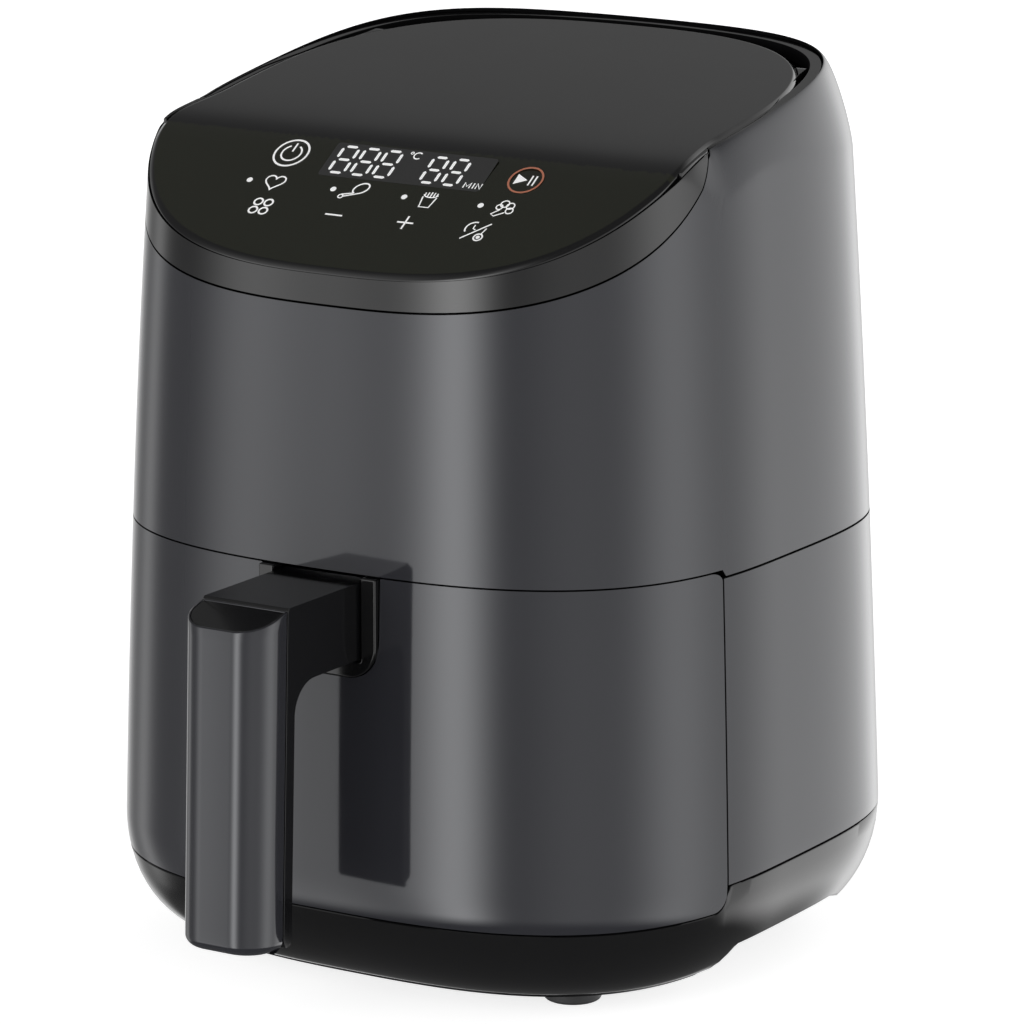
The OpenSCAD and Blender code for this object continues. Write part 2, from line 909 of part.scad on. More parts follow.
// Route of the lead bundle from the power board to the control board
harness_route = [
    [46, -30, 212], [46, -36, 212], [45, -42, 212.5], [42, -47, 214], [38, -50, 216],
    [34, -52, 218.5]
];

module wire_harness() {
    function ring(k) =
        let(
            a = harness_route[max(0, k - 1)],
            b = harness_route[min(len(harness_route) - 1, k + 1)],
            d = (b - a) / norm(b - a),
            u = cross(d, [0, 0, 1]) / norm(cross(d, [0, 0, 1])),
            v = cross(d, u)
        )
        [for (t = [0:45:315]) harness_route[k] + 1.6 * (cos(t) * u - sin(t) * v)];
    color("#a03030")
        placed()
            ring_stack([for (k = [0:len(harness_route) - 1]) ring(k)]);
}

// ---- Interlock ----

plunger_r = 1.8;
plunger_z = basket_top_z - 0.8;
plunger_tip = core_y + basket_half_w + rim_lip + 0.1;
switch_y = 83;

module interlock_switch() {
    color(soft_black)
        placed()
            difference() {
                translate([-9, switch_y, plunger_z - 4.5])
                    cube([18, 8, 9]);
                translate([0, switch_y - 1, plunger_z])
                    rotate([-90, 0, 0])
                        cylinder(r = plunger_r + 0.05, h = 7.5);
            }
}

module interlock_plunger() {
    color("ivory")
        placed()
            translate([0, plunger_tip, plunger_z])
                rotate([-90, 0, 0])
                    cylinder(r = plunger_r, h = switch_y + 4.5 - plunger_tip);
}

// ---- Drawer ----

corner_r = 5;
// Drop of the drawer front's edge where its corners are rounded, at turn t
function corner_drop(t) =
    let(
        y = -body_xy(t, seam_z, 0)[1],
        d = max(0, min(corner_r, y - edge_y + 0.6))
    )
    corner_r - sqrt(corner_r * corner_r - (corner_r - d) * (corner_r - d));
function drawer_z(t, f) =
    let(
        low = drawer_low_z + gap / 2 + 0.8 * corner_drop(t),
        high = seam_z - gap / 2 - 0.6 * corner_drop(t)
    )
    low + (high - low) * f;

collar_w = 20;
collar_low_z = 100;
collar_corner = 10;
collar_t = 5;
drawer_high_z = seam_z - gap / 2;

// U outline of the collar, open to the drawer's top edge
function u_shape(w, low, r, high) = concat(
    [[w, high], [-w, high]],
    [for (a = steps(180, 270, 8)) [-w + r + r * cos(a), low + r + r * sin(a)]],
    [for (a = steps(270, 360, 8)) [w - r + r * cos(a), low + r + r * sin(a)]]
);

// Upright prism along Y, from y = back towards -Y by t, of an outline in X and Z
module upright(back, t) {
    translate([0, back, 0])
        rotate([90, 0, 0])
            linear_extrude(t)
                children();
}

module drawer_front() {
    fs = [0, 0.03, 0.2, 0.4, 0.6, 0.8, 1];
    color(dark_grey)
        placed()
            difference() {
                sheet_wall(
                    [for (f = fs) [for (t = drawer_ts) body_point(t, drawer_z(t, f), 0)]],
                    [for (f = fs) [for (t = drawer_ts) body_point(t, drawer_z(t, f), drawer_t)]]
                );
                upright(-70, 40)
                    polygon(u_shape(collar_w + 0.2, collar_low_z - 0.2, collar_corner + 0.2, seam_z + 5));
            }
}

module handle_collar() {
    color(gloss_black)
        placed()
            upright(-86.4, 5.6)
                difference() {
                    polygon(u_shape(collar_w, collar_low_z, collar_corner, drawer_high_z));
                    polygon(u_shape(
                        collar_w - collar_t, collar_low_z + collar_t, 0.8, seam_z + 5
                    ));
                }
}

basket_lip_t = 1.5;

module basket() {
    color(coated)
        placed()
            translate([0, core_y, 0]) {
                difference() {
                    translate([0, 0, basket_low_z])
                        linear_extrude(basket_top_z - basket_low_z)
                            polygon(round_rect(basket_half_w, basket_half_w, basket_corner));
                    translate([0, 0, basket_low_z + basket_wall])
                        linear_extrude(basket_top_z)
                            polygon(round_rect(
                                basket_half_w - basket_wall, basket_half_w - basket_wall,
                                basket_corner - basket_wall
                            ));
                }
                translate([0, 0, basket_top_z - basket_lip_t])
                    linear_extrude(basket_lip_t)
                        difference() {
                            polygon(round_rect(
                                basket_half_w + rim_lip, basket_half_w + rim_lip, basket_corner + rim_lip
                            ));
                            polygon(round_rect(
                                basket_half_w - 0.5, basket_half_w - 0.5, basket_corner - 0.5
                            ));
                        }
            }
}

bracket_half_w = 30;
bracket_low_z = 60;
bracket_high_z = 118;
bracket_back = core_y - basket_half_w - 0.1;
flange_back = -84.4;

module basket_bracket() {
    color(steel)
        placed()
            translate([0, 0, bracket_low_z])
                linear_extrude(bracket_high_z - bracket_low_z)
                    difference() {
                        translate([-bracket_half_w, flange_back])
                            square([2 * bracket_half_w, bracket_back - flange_back]);
                        translate([-bracket_half_w + 2, flange_back + 2])
                            square([2 * bracket_half_w - 4, 40]);
                    }
}

// ---- Handle ----

arm_top_z = seam_z - 1.7;
arm_low_z = 105.8;
arm_fillet = 10;
grip_back = 3.6;
grip_split = 0.5;
cap_slope = 19;

// Point of the leaning grip in the Y-Z plane: y forward is negative, z down from the groove
function lean(y, z) = [
    -groove_y + y * cos(grip_lean) + z * sin(grip_lean),
    arm_top_z - y * sin(grip_lean) + z * cos(grip_lean)
];

module handle_body() {
    rear_y = lean(grip_back, arm_low_z - arm_top_z - arm_fillet)[0];
    side = concat(
        [[-flange_y, arm_top_z], lean(-grip_split + 0.6, 0), lean(-grip_split, -0.8)],
        [lean(-grip_split, -grip_h + 3), lean(grip_split, -grip_h + 0.8), lean(grip_split + 1.4, -grip_h + 0.8)],
        [for (a = steps(-80, 0, 5)) lean(grip_back - 2 + 2 * cos(a), -grip_h + 3 + 2 * sin(a))],
        [for (a = steps(180, 90, 8))
            [rear_y + arm_fillet + arm_fillet * cos(a), arm_low_z - arm_fillet + arm_fillet * sin(a)]],
        [[-flange_y, arm_low_z]]
    );
    color(gloss_black)
        placed() {
            translate([-handle_w / 2, 0, 0])
                rotate([90, 0, 90])
                    linear_extrude(handle_w)
                        polygon(side);
            upright(flange_back, 2)
                translate([-24, 98])
                    square([48, 29]);
        }
}
flange_y = 86;

// D-shaped section of the grip's front cover, moved in by inset
function d_shape(inset) =
    let(w = handle_w / 2 - inset, r = 10 - inset, f = -cover_d + inset)
    concat(
        [[w, -grip_split], [-w, -grip_split]],
        [for (a = steps(180, 270, 10)) [-w + r + r * cos(a), f + r + r * sin(a)]],
        [for (a = steps(270, 360, 10)) [w - r + r * cos(a), f + r + r * sin(a)]]
    );

// The grip's own leaning frame
module grip_frame() {
    placed()
        translate([0, -groove_y, arm_top_z])
            rotate([-grip_lean, 0, 0])
                children();
}

// Half-space block above the cap's sloping top, lowered by drop
module above_slope(drop) {
    rotate([cap_slope, 0, 0])
        translate([-40, -60, -1.2 - drop])
            cube([80, 100, 60]);
}

cover_shell = 1.4;

module handle_cover() {
    color(dark_grey)
        grip_frame()
            difference() {
                translate([0, 0, -grip_h])
                    linear_extrude(grip_h)
                        polygon(d_shape(0));
                translate([0, 0, -grip_h + 2])
                    linear_extrude(grip_h)
                        polygon(d_shape(cover_shell));
                above_slope(0);
            }
}

module handle_cap() {
    cap_t = 2.4;
    color(gloss_black)
        grip_frame()
            difference() {
                translate([0, 0, -20])
                    linear_extrude(24)
                        polygon(d_shape(cover_shell + 0.1));
                above_slope(0.1);
                rotate([cap_slope, 0, 0])
                    translate([-40, -60, -61.3 - cap_t])
                        cube([80, 100, 60]);
            }
}

module handle_screws() {
    color(steel)
        placed()
            for (x = [-8, 8])
                translate([x, flange_back + 2 + 2, 112])
                    rotate([90, 0, 0]) {
                        cylinder(r = 3.2, h = 2);
                        cylinder(r = 1.7, h = 14);
                    }
}

// ---- Crisper plate ----

plate_z = basket_low_z + plate_lift;
plate_half_w = 70;
plate_t = 1.2;
hole_pitch = 11;

module crisper_plate() {
    color(coated)
        placed()
            translate([0, core_y, plate_z]) {
                linear_extrude(plate_t)
                    difference() {
                        polygon(round_rect(plate_half_w, plate_half_w, 20));
                        for (i = [-5:5], j = [-5:5])
                            if (abs(i) + abs(j) < 9)
                                translate([i * hole_pitch, j * hole_pitch])
                                    circle(r = 3.2, $fn = 24);
                    }
            }
}

bumper_place = 60;

module plate_bumpers() {
    color("#303033")
        placed()
            for (x = [-1, 1], y = [-1, 1])
                translate([x * bumper_place, core_y + y * bumper_place, basket_low_z + basket_wall + 0.1])
                    cylinder(r = 4, h = plate_z - basket_low_z - basket_wall - 0.1);
}

upper_housing();
lower_housing();
base_shell();
foot_front_left();
foot_front_right();
foot_rear_left();
foot_rear_right();
front_band();
top_rim();
intake_grille();
top_cover();
led_display();
control_board();
touch_springs();
rear_vent_grille();
cord_gland();
front_frame();
cavity_liner();
rail_left();
rail_right();
heating_chamber();
heat_shield();
motor_deck();
deck_spacers();
fan_motor();
motor_screws();
heating_element();
element_clips();
element_guard();
temperature_sensor();
thermal_fuse();
power_board();
board_posts();
wire_harness();
interlock_switch();
base_screws();
motor_shaft();
convection_fan();
cooling_fan();
fan_nut();
interlock_plunger();
drawer_front();
basket();
basket_bracket();
handle_body();
handle_cover();
handle_cap();
handle_collar();
handle_screws();
crisper_plate();
plate_bumpers();
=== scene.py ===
import math
import json
import bpy
import bmesh
from mathutils import Vector, Matrix


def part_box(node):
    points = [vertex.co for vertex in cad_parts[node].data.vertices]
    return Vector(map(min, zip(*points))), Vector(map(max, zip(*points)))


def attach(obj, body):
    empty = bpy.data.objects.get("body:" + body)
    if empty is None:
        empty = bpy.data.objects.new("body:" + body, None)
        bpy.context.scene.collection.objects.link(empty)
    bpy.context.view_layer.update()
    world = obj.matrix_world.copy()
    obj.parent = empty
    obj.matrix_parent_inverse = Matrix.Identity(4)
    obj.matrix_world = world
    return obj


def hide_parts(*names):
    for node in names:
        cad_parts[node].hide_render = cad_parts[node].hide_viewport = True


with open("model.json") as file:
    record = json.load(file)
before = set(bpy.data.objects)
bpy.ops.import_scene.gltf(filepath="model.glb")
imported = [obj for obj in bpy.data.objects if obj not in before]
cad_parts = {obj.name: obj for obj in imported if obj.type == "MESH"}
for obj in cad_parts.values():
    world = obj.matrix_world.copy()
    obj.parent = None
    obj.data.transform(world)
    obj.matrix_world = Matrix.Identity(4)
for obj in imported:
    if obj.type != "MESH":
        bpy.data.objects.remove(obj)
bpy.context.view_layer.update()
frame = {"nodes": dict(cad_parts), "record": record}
nodes = frame["nodes"]
record = frame["record"]

# ---- Frame: shapes are worked out in millimetres about the body's plan centre ----

MM = 0.001
CORE_Y = 2.0


def centre_of(node):
    low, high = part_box(node)
    return (low + high) / 2


BODY_Y = centre_of("motor_shaft").y / MM - CORE_Y


def place(p):
    """A point about the body's centre, in millimetres, as a point of the frame in metres."""
    return Vector((p[0] * MM, (p[1] + BODY_Y) * MM, p[2] * MM))


def smooth(a, b, x):
    f = max(0.0, min(1.0, (x - a) / (b - a)))
    return f * f * (3 - 2 * f)


def mix(a, b, f):
    return a + (b - a) * f


def steps(a, b, n):
    return [a + (b - a) * i / n for i in range(n + 1)]


# ---- The body's outline, taper and top ----

HALF_W, FRONT_D, REAR_D = 100.0, 90.0, 95.0
SEAM_Z, SIDE_SEAM_Z, BASE_SEAM_Z, DRAWER_LOW_Z, BASE_Z = 130.0, 128.0, 36.7, 29.3, 5.0
WALL, GAP, DRAWER_T = 2.5, 0.4, 3.0
BOX_CLEAR = 0.08
FRONT_POW, REAR_POW, COVER_POW = 2.81, 3.87, 2.7
TUCK_Z, TUCK_SIDE, TUCK_END = 40.0, 21.0, 24.5
TOP_Z, TOP_SLOPE, PANEL_Z, PANEL_SLOPE, BEND = 253.2, 0.152, 272.6, 0.66, 3.0
COVER_W, COVER_REAR, COVER_T = 85.3, 80.8, 2.5
TIP_Y, TIP_Z = -24.0, 250.0
REF_Z = 230.0


def taper(h, up, down):
    k = up if h > 0 else down
    return 1 - k[0] * h - k[1] * h * h


def side_scale(z):
    return taper((z - SEAM_Z) / 100, (0.0398, 0.0135), (0.0417, 0.0084))


def rear_scale(z):
    return taper((z - SEAM_Z) / 100, (0.0558, -0.0083), (0.0451, -0.0033))


def tuck(z):
    u = max(0.0, min(1.0, (TUCK_Z - z) / (TUCK_Z - BASE_Z)))
    return 1 - math.sqrt(1 - u * u)


def half_w(z):
    """Half-width of the body, a hair narrower than the CAD part so that it stays inside its box."""
    return (HALF_W - BOX_CLEAR) * side_scale(z) - TUCK_SIDE * tuck(z)


def depth(z, ahead):
    return (FRONT_D * side_scale(z) if ahead else REAR_D * rear_scale(z)) - TUCK_END * tuck(z)


def ring_point(phi, a, b, p):
    """Point of a squared ellipse in the direction phi, an angle in radians."""
    c, s = math.cos(phi), math.sin(phi)
    k = (abs(c) ** p + abs(s) ** p) ** (-1 / p)
    return a * c * k, b * s * k


def is_ahead(phi):
    return math.sin(phi) < 0


def body_xy(phi, z, inset=0.0):
    ahead = is_ahead(phi)
    return ring_point(phi, half_w(z) - inset, depth(z, ahead) - inset, FRONT_POW if ahead else REAR_POW)


def body_point(phi, z, inset=0.0):
    x, y = body_xy(phi, z, inset)
    return x, y, z


def turn_angle(turn, p):
    """The direction that belongs to a turn of the outline's own measure, in degrees."""
    c, s = math.cos(math.radians(turn)), math.sin(math.radians(turn))
    across = math.copysign(abs(c) ** (2 / p), c)
    back = math.copysign(abs(s) ** (2 / p), s)
    return math.atan2(back, across) % (2 * math.pi)


def top_h(y):
    a, b = TOP_Z + TOP_SLOPE * y, PANEL_Z + PANEL_SLOPE * y
    return (a + b - math.sqrt((a - b) ** 2 + BEND ** 2)) / 2


def band_low(y):
    d = max(0.0, y + 86.3)
    return min(206 + 0.48 * d + 9.7e-7 * d ** 4, TIP_Z)


def angle_at(ahead, x=None, y=None, z=SEAM_Z, right=True):
    """Direction of the outline's point with a given x or y, on the right or left side."""
    lo, hi = (1.5 * math.pi, 2 * math.pi) if ahead else (0.0, 0.5 * math.pi)
    for _ in range(50):
        mid = (lo + hi) / 2
        px, py = body_xy(mid, z)
        value = px if x is not None else py
        goal = x if x is not None else y
        rising = (x is not None) == ahead or (y is not None)
        if (value < goal) == rising:
            lo = mid
        else:
            hi = mid
    return mid if right else (math.pi - mid) % (2 * math.pi)


def spread(a, b, pitch, fine=0.0, fine_n=0, z=SEAM_Z):
    """Directions from a to b at even lengths along the outline, closer together at the two ends."""
    n = 1500
    grid = steps(a, b, n)
    pts = [body_xy(g, z) for g in grid]
    lengths = [0.0]
    for p, q in zip(pts, pts[1:]):
        lengths.append(lengths[-1] + math.dist(p, q))
    total = lengths[-1]
    ends = [fine * (i / fine_n) ** 1.6 for i in range(fine_n)] if fine_n else [0.0]
    start = fine if fine_n else 0.0
    count = max(2, round((total - 2 * start) / pitch))
    if fine_n:
        wanted = ends + steps(start, total - start, count) + [total - e for e in reversed(ends)]
    else:
        wanted = steps(0.0, total, count)
    out, j = [], 0
    for w in wanted:
        while j < n - 1 and lengths[j + 1] < w:
            j += 1
        span = lengths[j + 1] - lengths[j]
        out.append(mix(grid[j], grid[j + 1], (w - lengths[j]) / span if span else 0.0))
    out[0], out[-1] = a, b
    return out


# ---- Mesh building ----

built = []


def finish_piece(bm, name, body, slot, stands_for=(), bevel=0.0, segments=3, angle=40, sharp=None,
                 finish=None, painted_edge_shade=False):
    """Turns a bmesh into a shaded piece that rides on a body and takes its slot's finish."""
    bmesh.ops.remove_doubles(bm, verts=bm.verts, dist=1e-7)
    bmesh.ops.dissolve_degenerate(bm, dist=1e-7, edges=bm.edges)
    loose = [v for v in bm.verts if not v.link_faces]
    bmesh.ops.delete(bm, geom=loose, context="VERTS")
    bmesh.ops.recalc_face_normals(bm, faces=bm.faces)
    for f in bm.faces:
        f.smooth = True
    if sharp:
        for e in bm.edges:
            if len(e.link_faces) == 2 and e.calc_face_angle(0.0) > math.radians(sharp):
                e.smooth = False
    mesh = bpy.data.meshes.new(name)
    bm.to_mesh(mesh)
    bm.free()
    obj = bpy.data.objects.new(name, mesh)
    bpy.context.scene.collection.objects.link(obj)
    if bevel:
        mod = obj.modifiers.new("edge", "BEVEL")
        mod.width = bevel * MM
        mod.segments = segments
        mod.limit_method = "ANGLE"
        mod.angle_limit = math.radians(angle)
        mod.harden_normals = True
        # Bevel faces take slot 1, the near-black finish: a painted line of shade along the seams.
        if painted_edge_shade:
            mod.material = 1
    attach(obj, body)
    if stands_for:
        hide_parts(*stands_for)
    obj["finish"] = finish or slot
    built.append(obj)
    return obj


def wall_mesh(outer, inner, closed=False, hole=None, show_top=False):
    """Solid wall between two sheets of points, with rim walls round its edges and holes."""
    nk, ni = len(outer), len(outer[0])
    span = ni if closed else ni - 1
    cells = {(k, i) for k in range(nk - 1) for i in range(span) if not (hole and hole(k, i))}
    bm = bmesh.new()
    vo = [[bm.verts.new(place(p)) for p in row] for row in outer]
    vi = [[bm.verts.new(place(p)) for p in row] for row in inner]
    for k, i in cells:
        j = (i + 1) % ni
        bm.faces.new((vo[k][i], vo[k][j], vo[k + 1][j], vo[k + 1][i]))
        unseen = [bm.faces.new((vi[k][i], vi[k + 1][i], vi[k + 1][j], vi[k][j]))]
        before, after = ((i - 1) % ni, (i + 1) % ni) if closed else (i - 1, i + 1)
        if (k - 1, i) not in cells:
            unseen.append(bm.faces.new((vo[k][j], vo[k][i], vi[k][i], vi[k][j])))
        if (k + 1, i) not in cells:
            top_wall = bm.faces.new((vo[k + 1][i], vo[k + 1][j], vi[k + 1][j], vi[k + 1][i]))
            if not show_top:
                unseen.append(top_wall)
        if (k, before) not in cells:
            unseen.append(bm.faces.new((vo[k][i], vo[k + 1][i], vi[k + 1][i], vi[k][i])))
        if (k, after) not in cells:
            unseen.append(bm.faces.new((vo[k + 1][j], vo[k][j], vi[k][j], vi[k + 1][j])))
        # Inner faces and rim walls take slot 1, the near-black finish that paints shade into the gaps
        # and inside the shell.
        for f in unseen:
            f.material_index = 1
    return bm


def stack_mesh(rings, cap_low=True, cap_high=True):
    """Skin over a stack of closed rings, each with the same number of points."""
    bm = bmesh.new()
    vs = [[bm.verts.new(place(p)) for p in ring] for ring in rings]
    ni = len(rings[0])
    for k in range(len(rings) - 1):
        for i in range(ni):
            j = (i + 1) % ni
            bm.faces.new((vs[k][i], vs[k][j], vs[k + 1][j], vs[k + 1][i]))
    for row, wanted in ((vs[0], cap_low), (vs[-1], cap_high)):
        if wanted:
            middle = sum((v.co for v in row), Vector()) / ni
            hub = bm.verts.new(middle)
            for i in range(ni):
                bm.faces.new((row[i], row[(i + 1) % ni], hub))
    return bm


def lathe_mesh(x, y, profile, n=72):
    """Solid turned about an upright line through x, y from a profile of radius and height."""
    rings = [
        [(x + max(r, 0.01) * math.cos(a), y + max(r, 0.01) * math.sin(a), z)
         for a in (2 * math.pi * i / n for i in range(n))]
        for r, z in profile
    ]
    return stack_mesh(rings)


def arc(cx, cz, r, a0, a1, n=6):
    return [(cx + r * math.cos(math.radians(a)), cz + r * math.sin(math.radians(a)))
            for a in steps(a0, a1, n)]


# ---- Side surface of the body with its rolled shoulder ----

def around(phi, side, end, bulge):
    """Amount that runs from side to end round the back, with a bulge at the corners."""
    x, y = body_xy(phi, REF_Z)
    f = math.atan2(y, x)
    return side + (end - side) * math.sin(f) ** 2 + bulge * math.sin(2 * f) ** 2


def shoulder_in(phi):
    return around(phi, 4.8, 3.3, 2.25)


def shoulder_h(phi):
    return around(phi, 12.0, 16.0, 13.0)


def column(phi):
    """Depth of a column and how much of the full shoulder it carries."""
    y = body_xy(phi, REF_Z)[1]
    return y, smooth(-44, -19, y)


def roll(phi):
    y, w = column(phi)
    return mix(1.0, shoulder_h(phi), w), mix(0.9, shoulder_in(phi), w)


def side_row(phi, z, top):
    """Inset of the side surface at height z under a top edge at height top."""
    r, inset = roll(phi)
    s = max(0.0, min(1.0, (z - (top - r)) / r))
    return inset * (0.76 * s ** 1.45 + 0.24 * (1 - math.sqrt(max(0.0, 1 - s ** 7))))


def side_heights(phi, low, high, top, n):
    """Heights from low to high, closer together over the shoulder."""
    r, inset = roll(phi)
    bend = top - r
    wall_len = max(0.0, min(high, bend) - low)
    turn = math.asin(max(0.0, min(1.0, (high - bend) / r))) if high > bend else 0.0
    start = math.asin(max(0.0, min(1.0, (low - bend) / r))) if low > bend else 0.0
    dense = 4.0
    total = wall_len + (turn - start) * r * dense
    out = []
    for i in range(n + 1):
        u = total * i / n
        if u <= wall_len + 1e-6:
            out.append(low + u)
        else:
            out.append(bend + r * math.sin(start + (u - wall_len) / (r * dense)))
    return out


def side_sheet(phis, low_of, high_of, top_of, thickness, n, anchors=()):
    """Outer and inner rows of the side surface between two heights given per column."""
    columns = []
    for phi in phis:
        y = column(phi)[0]
        low, high, top = low_of(phi, y), high_of(phi, y), top_of(phi, y)
        zs = []
        marks = [low] + list(anchors) + [high]
        for a, b, count in zip(marks, marks[1:], n):
            part = side_heights(phi, a, b, top, count)
            zs += part if not zs else part[1:]
        columns.append((phi, top, zs))
    rows = range(len(columns[0][2]))
    outer = [
        [body_point(phi, zs[k], side_row(phi, zs[k], top)) for phi, top, zs in columns]
        for k in rows
    ]
    inner = [
        [body_point(phi, min(zs[k], top - 0.4 * thickness), thickness + side_row(phi, zs[k], top) * 0.6)
         for phi, top, zs in columns]
        for k in rows
    ]
    return outer, inner


# ---- Where the drawer's edges, the rear vent and the band's ends are ----

EDGE_TURN = 12.57
PHI_R = turn_angle(-EDGE_TURN, FRONT_POW)
PHI_L = (math.pi - PHI_R) % (2 * math.pi)
FRONT_MID = 1.5 * math.pi
FULL = 2 * math.pi
VENT_HALF_W, VENT_LOW_Z, VENT_HIGH_Z = 36.4, 160.0, 192.0
VENT_R = angle_at(False, x=VENT_HALF_W, z=VENT_LOW_Z)
PITCH = 1.5
EDGE_GAP = math.radians(0.2)


def joined(*parts):
    out = []
    for part in parts:
        out += part if not out else part[1:]
    return out


around_phis = joined(
    spread(FRONT_MID, PHI_R, PITCH, fine=6.0, fine_n=7),
    spread(PHI_R, FULL + VENT_R, PITCH),
    spread(FULL + VENT_R, FULL + math.pi - VENT_R, PITCH),
    spread(FULL + math.pi - VENT_R, FULL + PHI_L, PITCH),
    spread(FULL + PHI_L, FULL + FRONT_MID, PITCH, fine=6.0, fine_n=7),
)[:-1]
rear_phis = spread(PHI_R + EDGE_GAP, FULL + PHI_L - EDGE_GAP, PITCH, fine=5.0, fine_n=5)


def at_front(phi):
    return math.sin(phi) <= math.sin(PHI_R) + 1e-6


def edge_drop(phi):
    """How far below the top plane the side surface ends under the cover."""
    return mix(1.5, 0.35, column(phi)[1])


def band_edge(phi, y):
    return min(band_low(y), top_h(y) - edge_drop(phi))


CORNER_R = 5.0


def corner_drop(phi):
    """Rise of the drawer's edge round its corners."""
    d = body_xy(PHI_R, SEAM_Z)[1] - body_xy(phi, SEAM_Z)[1]
    d = max(0.0, min(CORNER_R, d))
    return CORNER_R - math.sqrt(CORNER_R ** 2 - (CORNER_R - d) ** 2)


# ---- Housings ----

BAND_GAP = 0.6


def housing_low(phi, _):
    return (SEAM_Z if at_front(phi) else SIDE_SEAM_Z) + GAP / 2


def housing_high(phi, y):
    if y < TIP_Y:
        return band_edge(phi, y) - BAND_GAP
    return top_h(y)


def top_of(_, y):
    return top_h(y)


def in_vent(k, i):
    phi = around_phis[i]
    low_rows = HOUSING_ROWS[0]
    return (low_rows <= k < low_rows + HOUSING_ROWS[1]
            and VENT_R - 1e-9 <= phi - FULL < math.pi - VENT_R - 1e-9)


HOUSING_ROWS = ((8, 8, 44))
outer, inner = side_sheet(
    around_phis, housing_low, housing_high, top_of, WALL, HOUSING_ROWS, (VENT_LOW_Z, VENT_HIGH_Z)
)
finish_piece(
    wall_mesh(outer, inner, closed=True, hole=in_vent),
    "upper_housing_shell", "root", "housing_grey", ["upper_housing"], bevel=0.25,
    painted_edge_shade=True
)

zs = steps(BASE_SEAM_Z + GAP / 2, SIDE_SEAM_Z - GAP / 2, 44)
finish_piece(
    wall_mesh(
        [[body_point(p, z) for p in rear_phis] for z in zs],
        [[body_point(p, z, WALL) for p in rear_phis] for z in zs],
    ),
    "lower_housing_shell", "root", "housing_grey", ["lower_housing"], bevel=0.25,
    painted_edge_shade=True
)

# ---- Front band ----

tip_phi = angle_at(True, y=TIP_Y - 0.6, z=REF_Z)
band_phis = spread((math.pi - tip_phi) % FULL, tip_phi, PITCH * 0.8, fine=6.0, fine_n=6)


def band_high(phi, y):
    return top_h(y) - edge_drop(phi) + 0.12


outer, inner = side_sheet(band_phis, band_edge, band_high, top_of, 1.6, (24,))
finish_piece(
    wall_mesh(outer, inner), "front_band_shell", "root", "gloss_black", ["front_band"], bevel=0.22,
    segments=2
)

# ---- Base ----

ARCH_Z = 15.0
ARCH_FLAT, ARCH_ENDS, ARCH_DEPTH = (-15.0, 32.5), (-19.5, 59.0), 14.0


def arch(phi):
    """Height of the base's lower edge, raised into a hand recess on each side."""
    y = body_xy(phi, BASE_Z)[1]
    up = (ARCH_Z - BASE_Z) * smooth(ARCH_ENDS[0] - 0.8, ARCH_FLAT[0] + 0.8, y)
    back = (y - ARCH_FLAT[1]) / (ARCH_ENDS[1] - ARCH_FLAT[1])
    down = (ARCH_Z - BASE_Z) * (1 - max(0.0, min(1.0, back)))
    return BASE_Z + max(0.0, min(up, down))


def base_rim(phi):
    if at_front(phi):
        return DRAWER_LOW_Z - GAP / 2 + corner_drop(phi)
    return BASE_SEAM_Z - GAP / 2


def base_ring(f, inset, lift=0.0):
    out = []
    for phi in around_phis:
        low = arch(phi) + lift
        z = low + (base_rim(phi) - low) * f
        out.append(body_point(phi, z, inset))
    return out


def flat_ring(lift, inset):
    out = []
    for phi in around_phis:
        x, y = body_xy(phi, BASE_Z + 1, inset)
        out.append((x, y, arch(phi) + lift))
    return out


def level_ring(z, inset):
    return [(*body_xy(phi, BASE_Z + 1, inset), z) for phi in around_phis]


low_steps = [0.02, 0.05, 0.09, 0.14, 0.2, 0.27, 0.35, 0.44, 0.54, 0.66, 0.8]
rings = [level_ring(BASE_Z, ARCH_DEPTH + 0.6), flat_ring(0.2, ARCH_DEPTH), flat_ring(0.0, 1.4)]
rings += [base_ring(f, 0.0) for f in low_steps] + [base_ring(0.985, 0.0), base_ring(1.0, 0.35)]
rings += [base_ring(1.0, WALL)] + [base_ring(f, WALL, 3.0) for f in reversed(low_steps[1:])]
rings += [flat_ring(3.6, WALL + 2), flat_ring(3.0, ARCH_DEPTH + WALL)]
rings += [level_ring(BASE_Z + 3.0, ARCH_DEPTH + WALL + 0.8)]
finish_piece(stack_mesh(rings), "base_shell_moulded", "root", "base_black", ["base_shell"], sharp=50)

FOOT_R = 8.5
foot_profile = (
    [(0.0, 0.0), (FOOT_R - 1.4, 0.0)] + arc(FOOT_R - 1.2, 1.2, 1.2, -90, 0, 5)
    + [(FOOT_R, 3.8), (FOOT_R - 0.5, BASE_Z), (0.0, BASE_Z)]
)
for side, x in (("left", -58.0), ("right", 58.0)):
    for end, y in (("front", -46.0), ("rear", 55.0)):
        node = f"foot_{end}_{side}"
        foot = lathe_mesh(x, y, foot_profile)
        finish_piece(foot, node + "_turned", "root", "rubber", [node], sharp=50)

# ---- Top cover, its trim and the rim ----


def cover_inset(y):
    return mix(GAP, half_w(top_h(0.0)) - COVER_W, smooth(-48, -12, y))


def resample(points, count):
    """The closed line through points, cut into a number of even lengths."""
    loop = points + [points[0]]
    lengths = [0.0]
    for p, q in zip(loop, loop[1:]):
        lengths.append(lengths[-1] + math.dist(p, q))
    out, j = [], 0
    for i in range(count):
        w = lengths[-1] * i / count
        while lengths[j + 1] < w:
            j += 1
        f = (w - lengths[j]) / (lengths[j + 1] - lengths[j])
        out.append(tuple(mix(a, b, f) for a, b in zip(loop[j], loop[j + 1])))
    return out


def moved_in(points, d):
    """A closed line moved inwards by d."""
    n = len(points)
    out = []
    for i, p in enumerate(points):
        q, r = points[i - 1], points[(i + 1) % n]
        tx, ty = r[0] - q[0], r[1] - q[1]
        k = d / math.hypot(tx, ty)
        out.append((p[0] - ty * k, p[1] + tx * k))
    return out


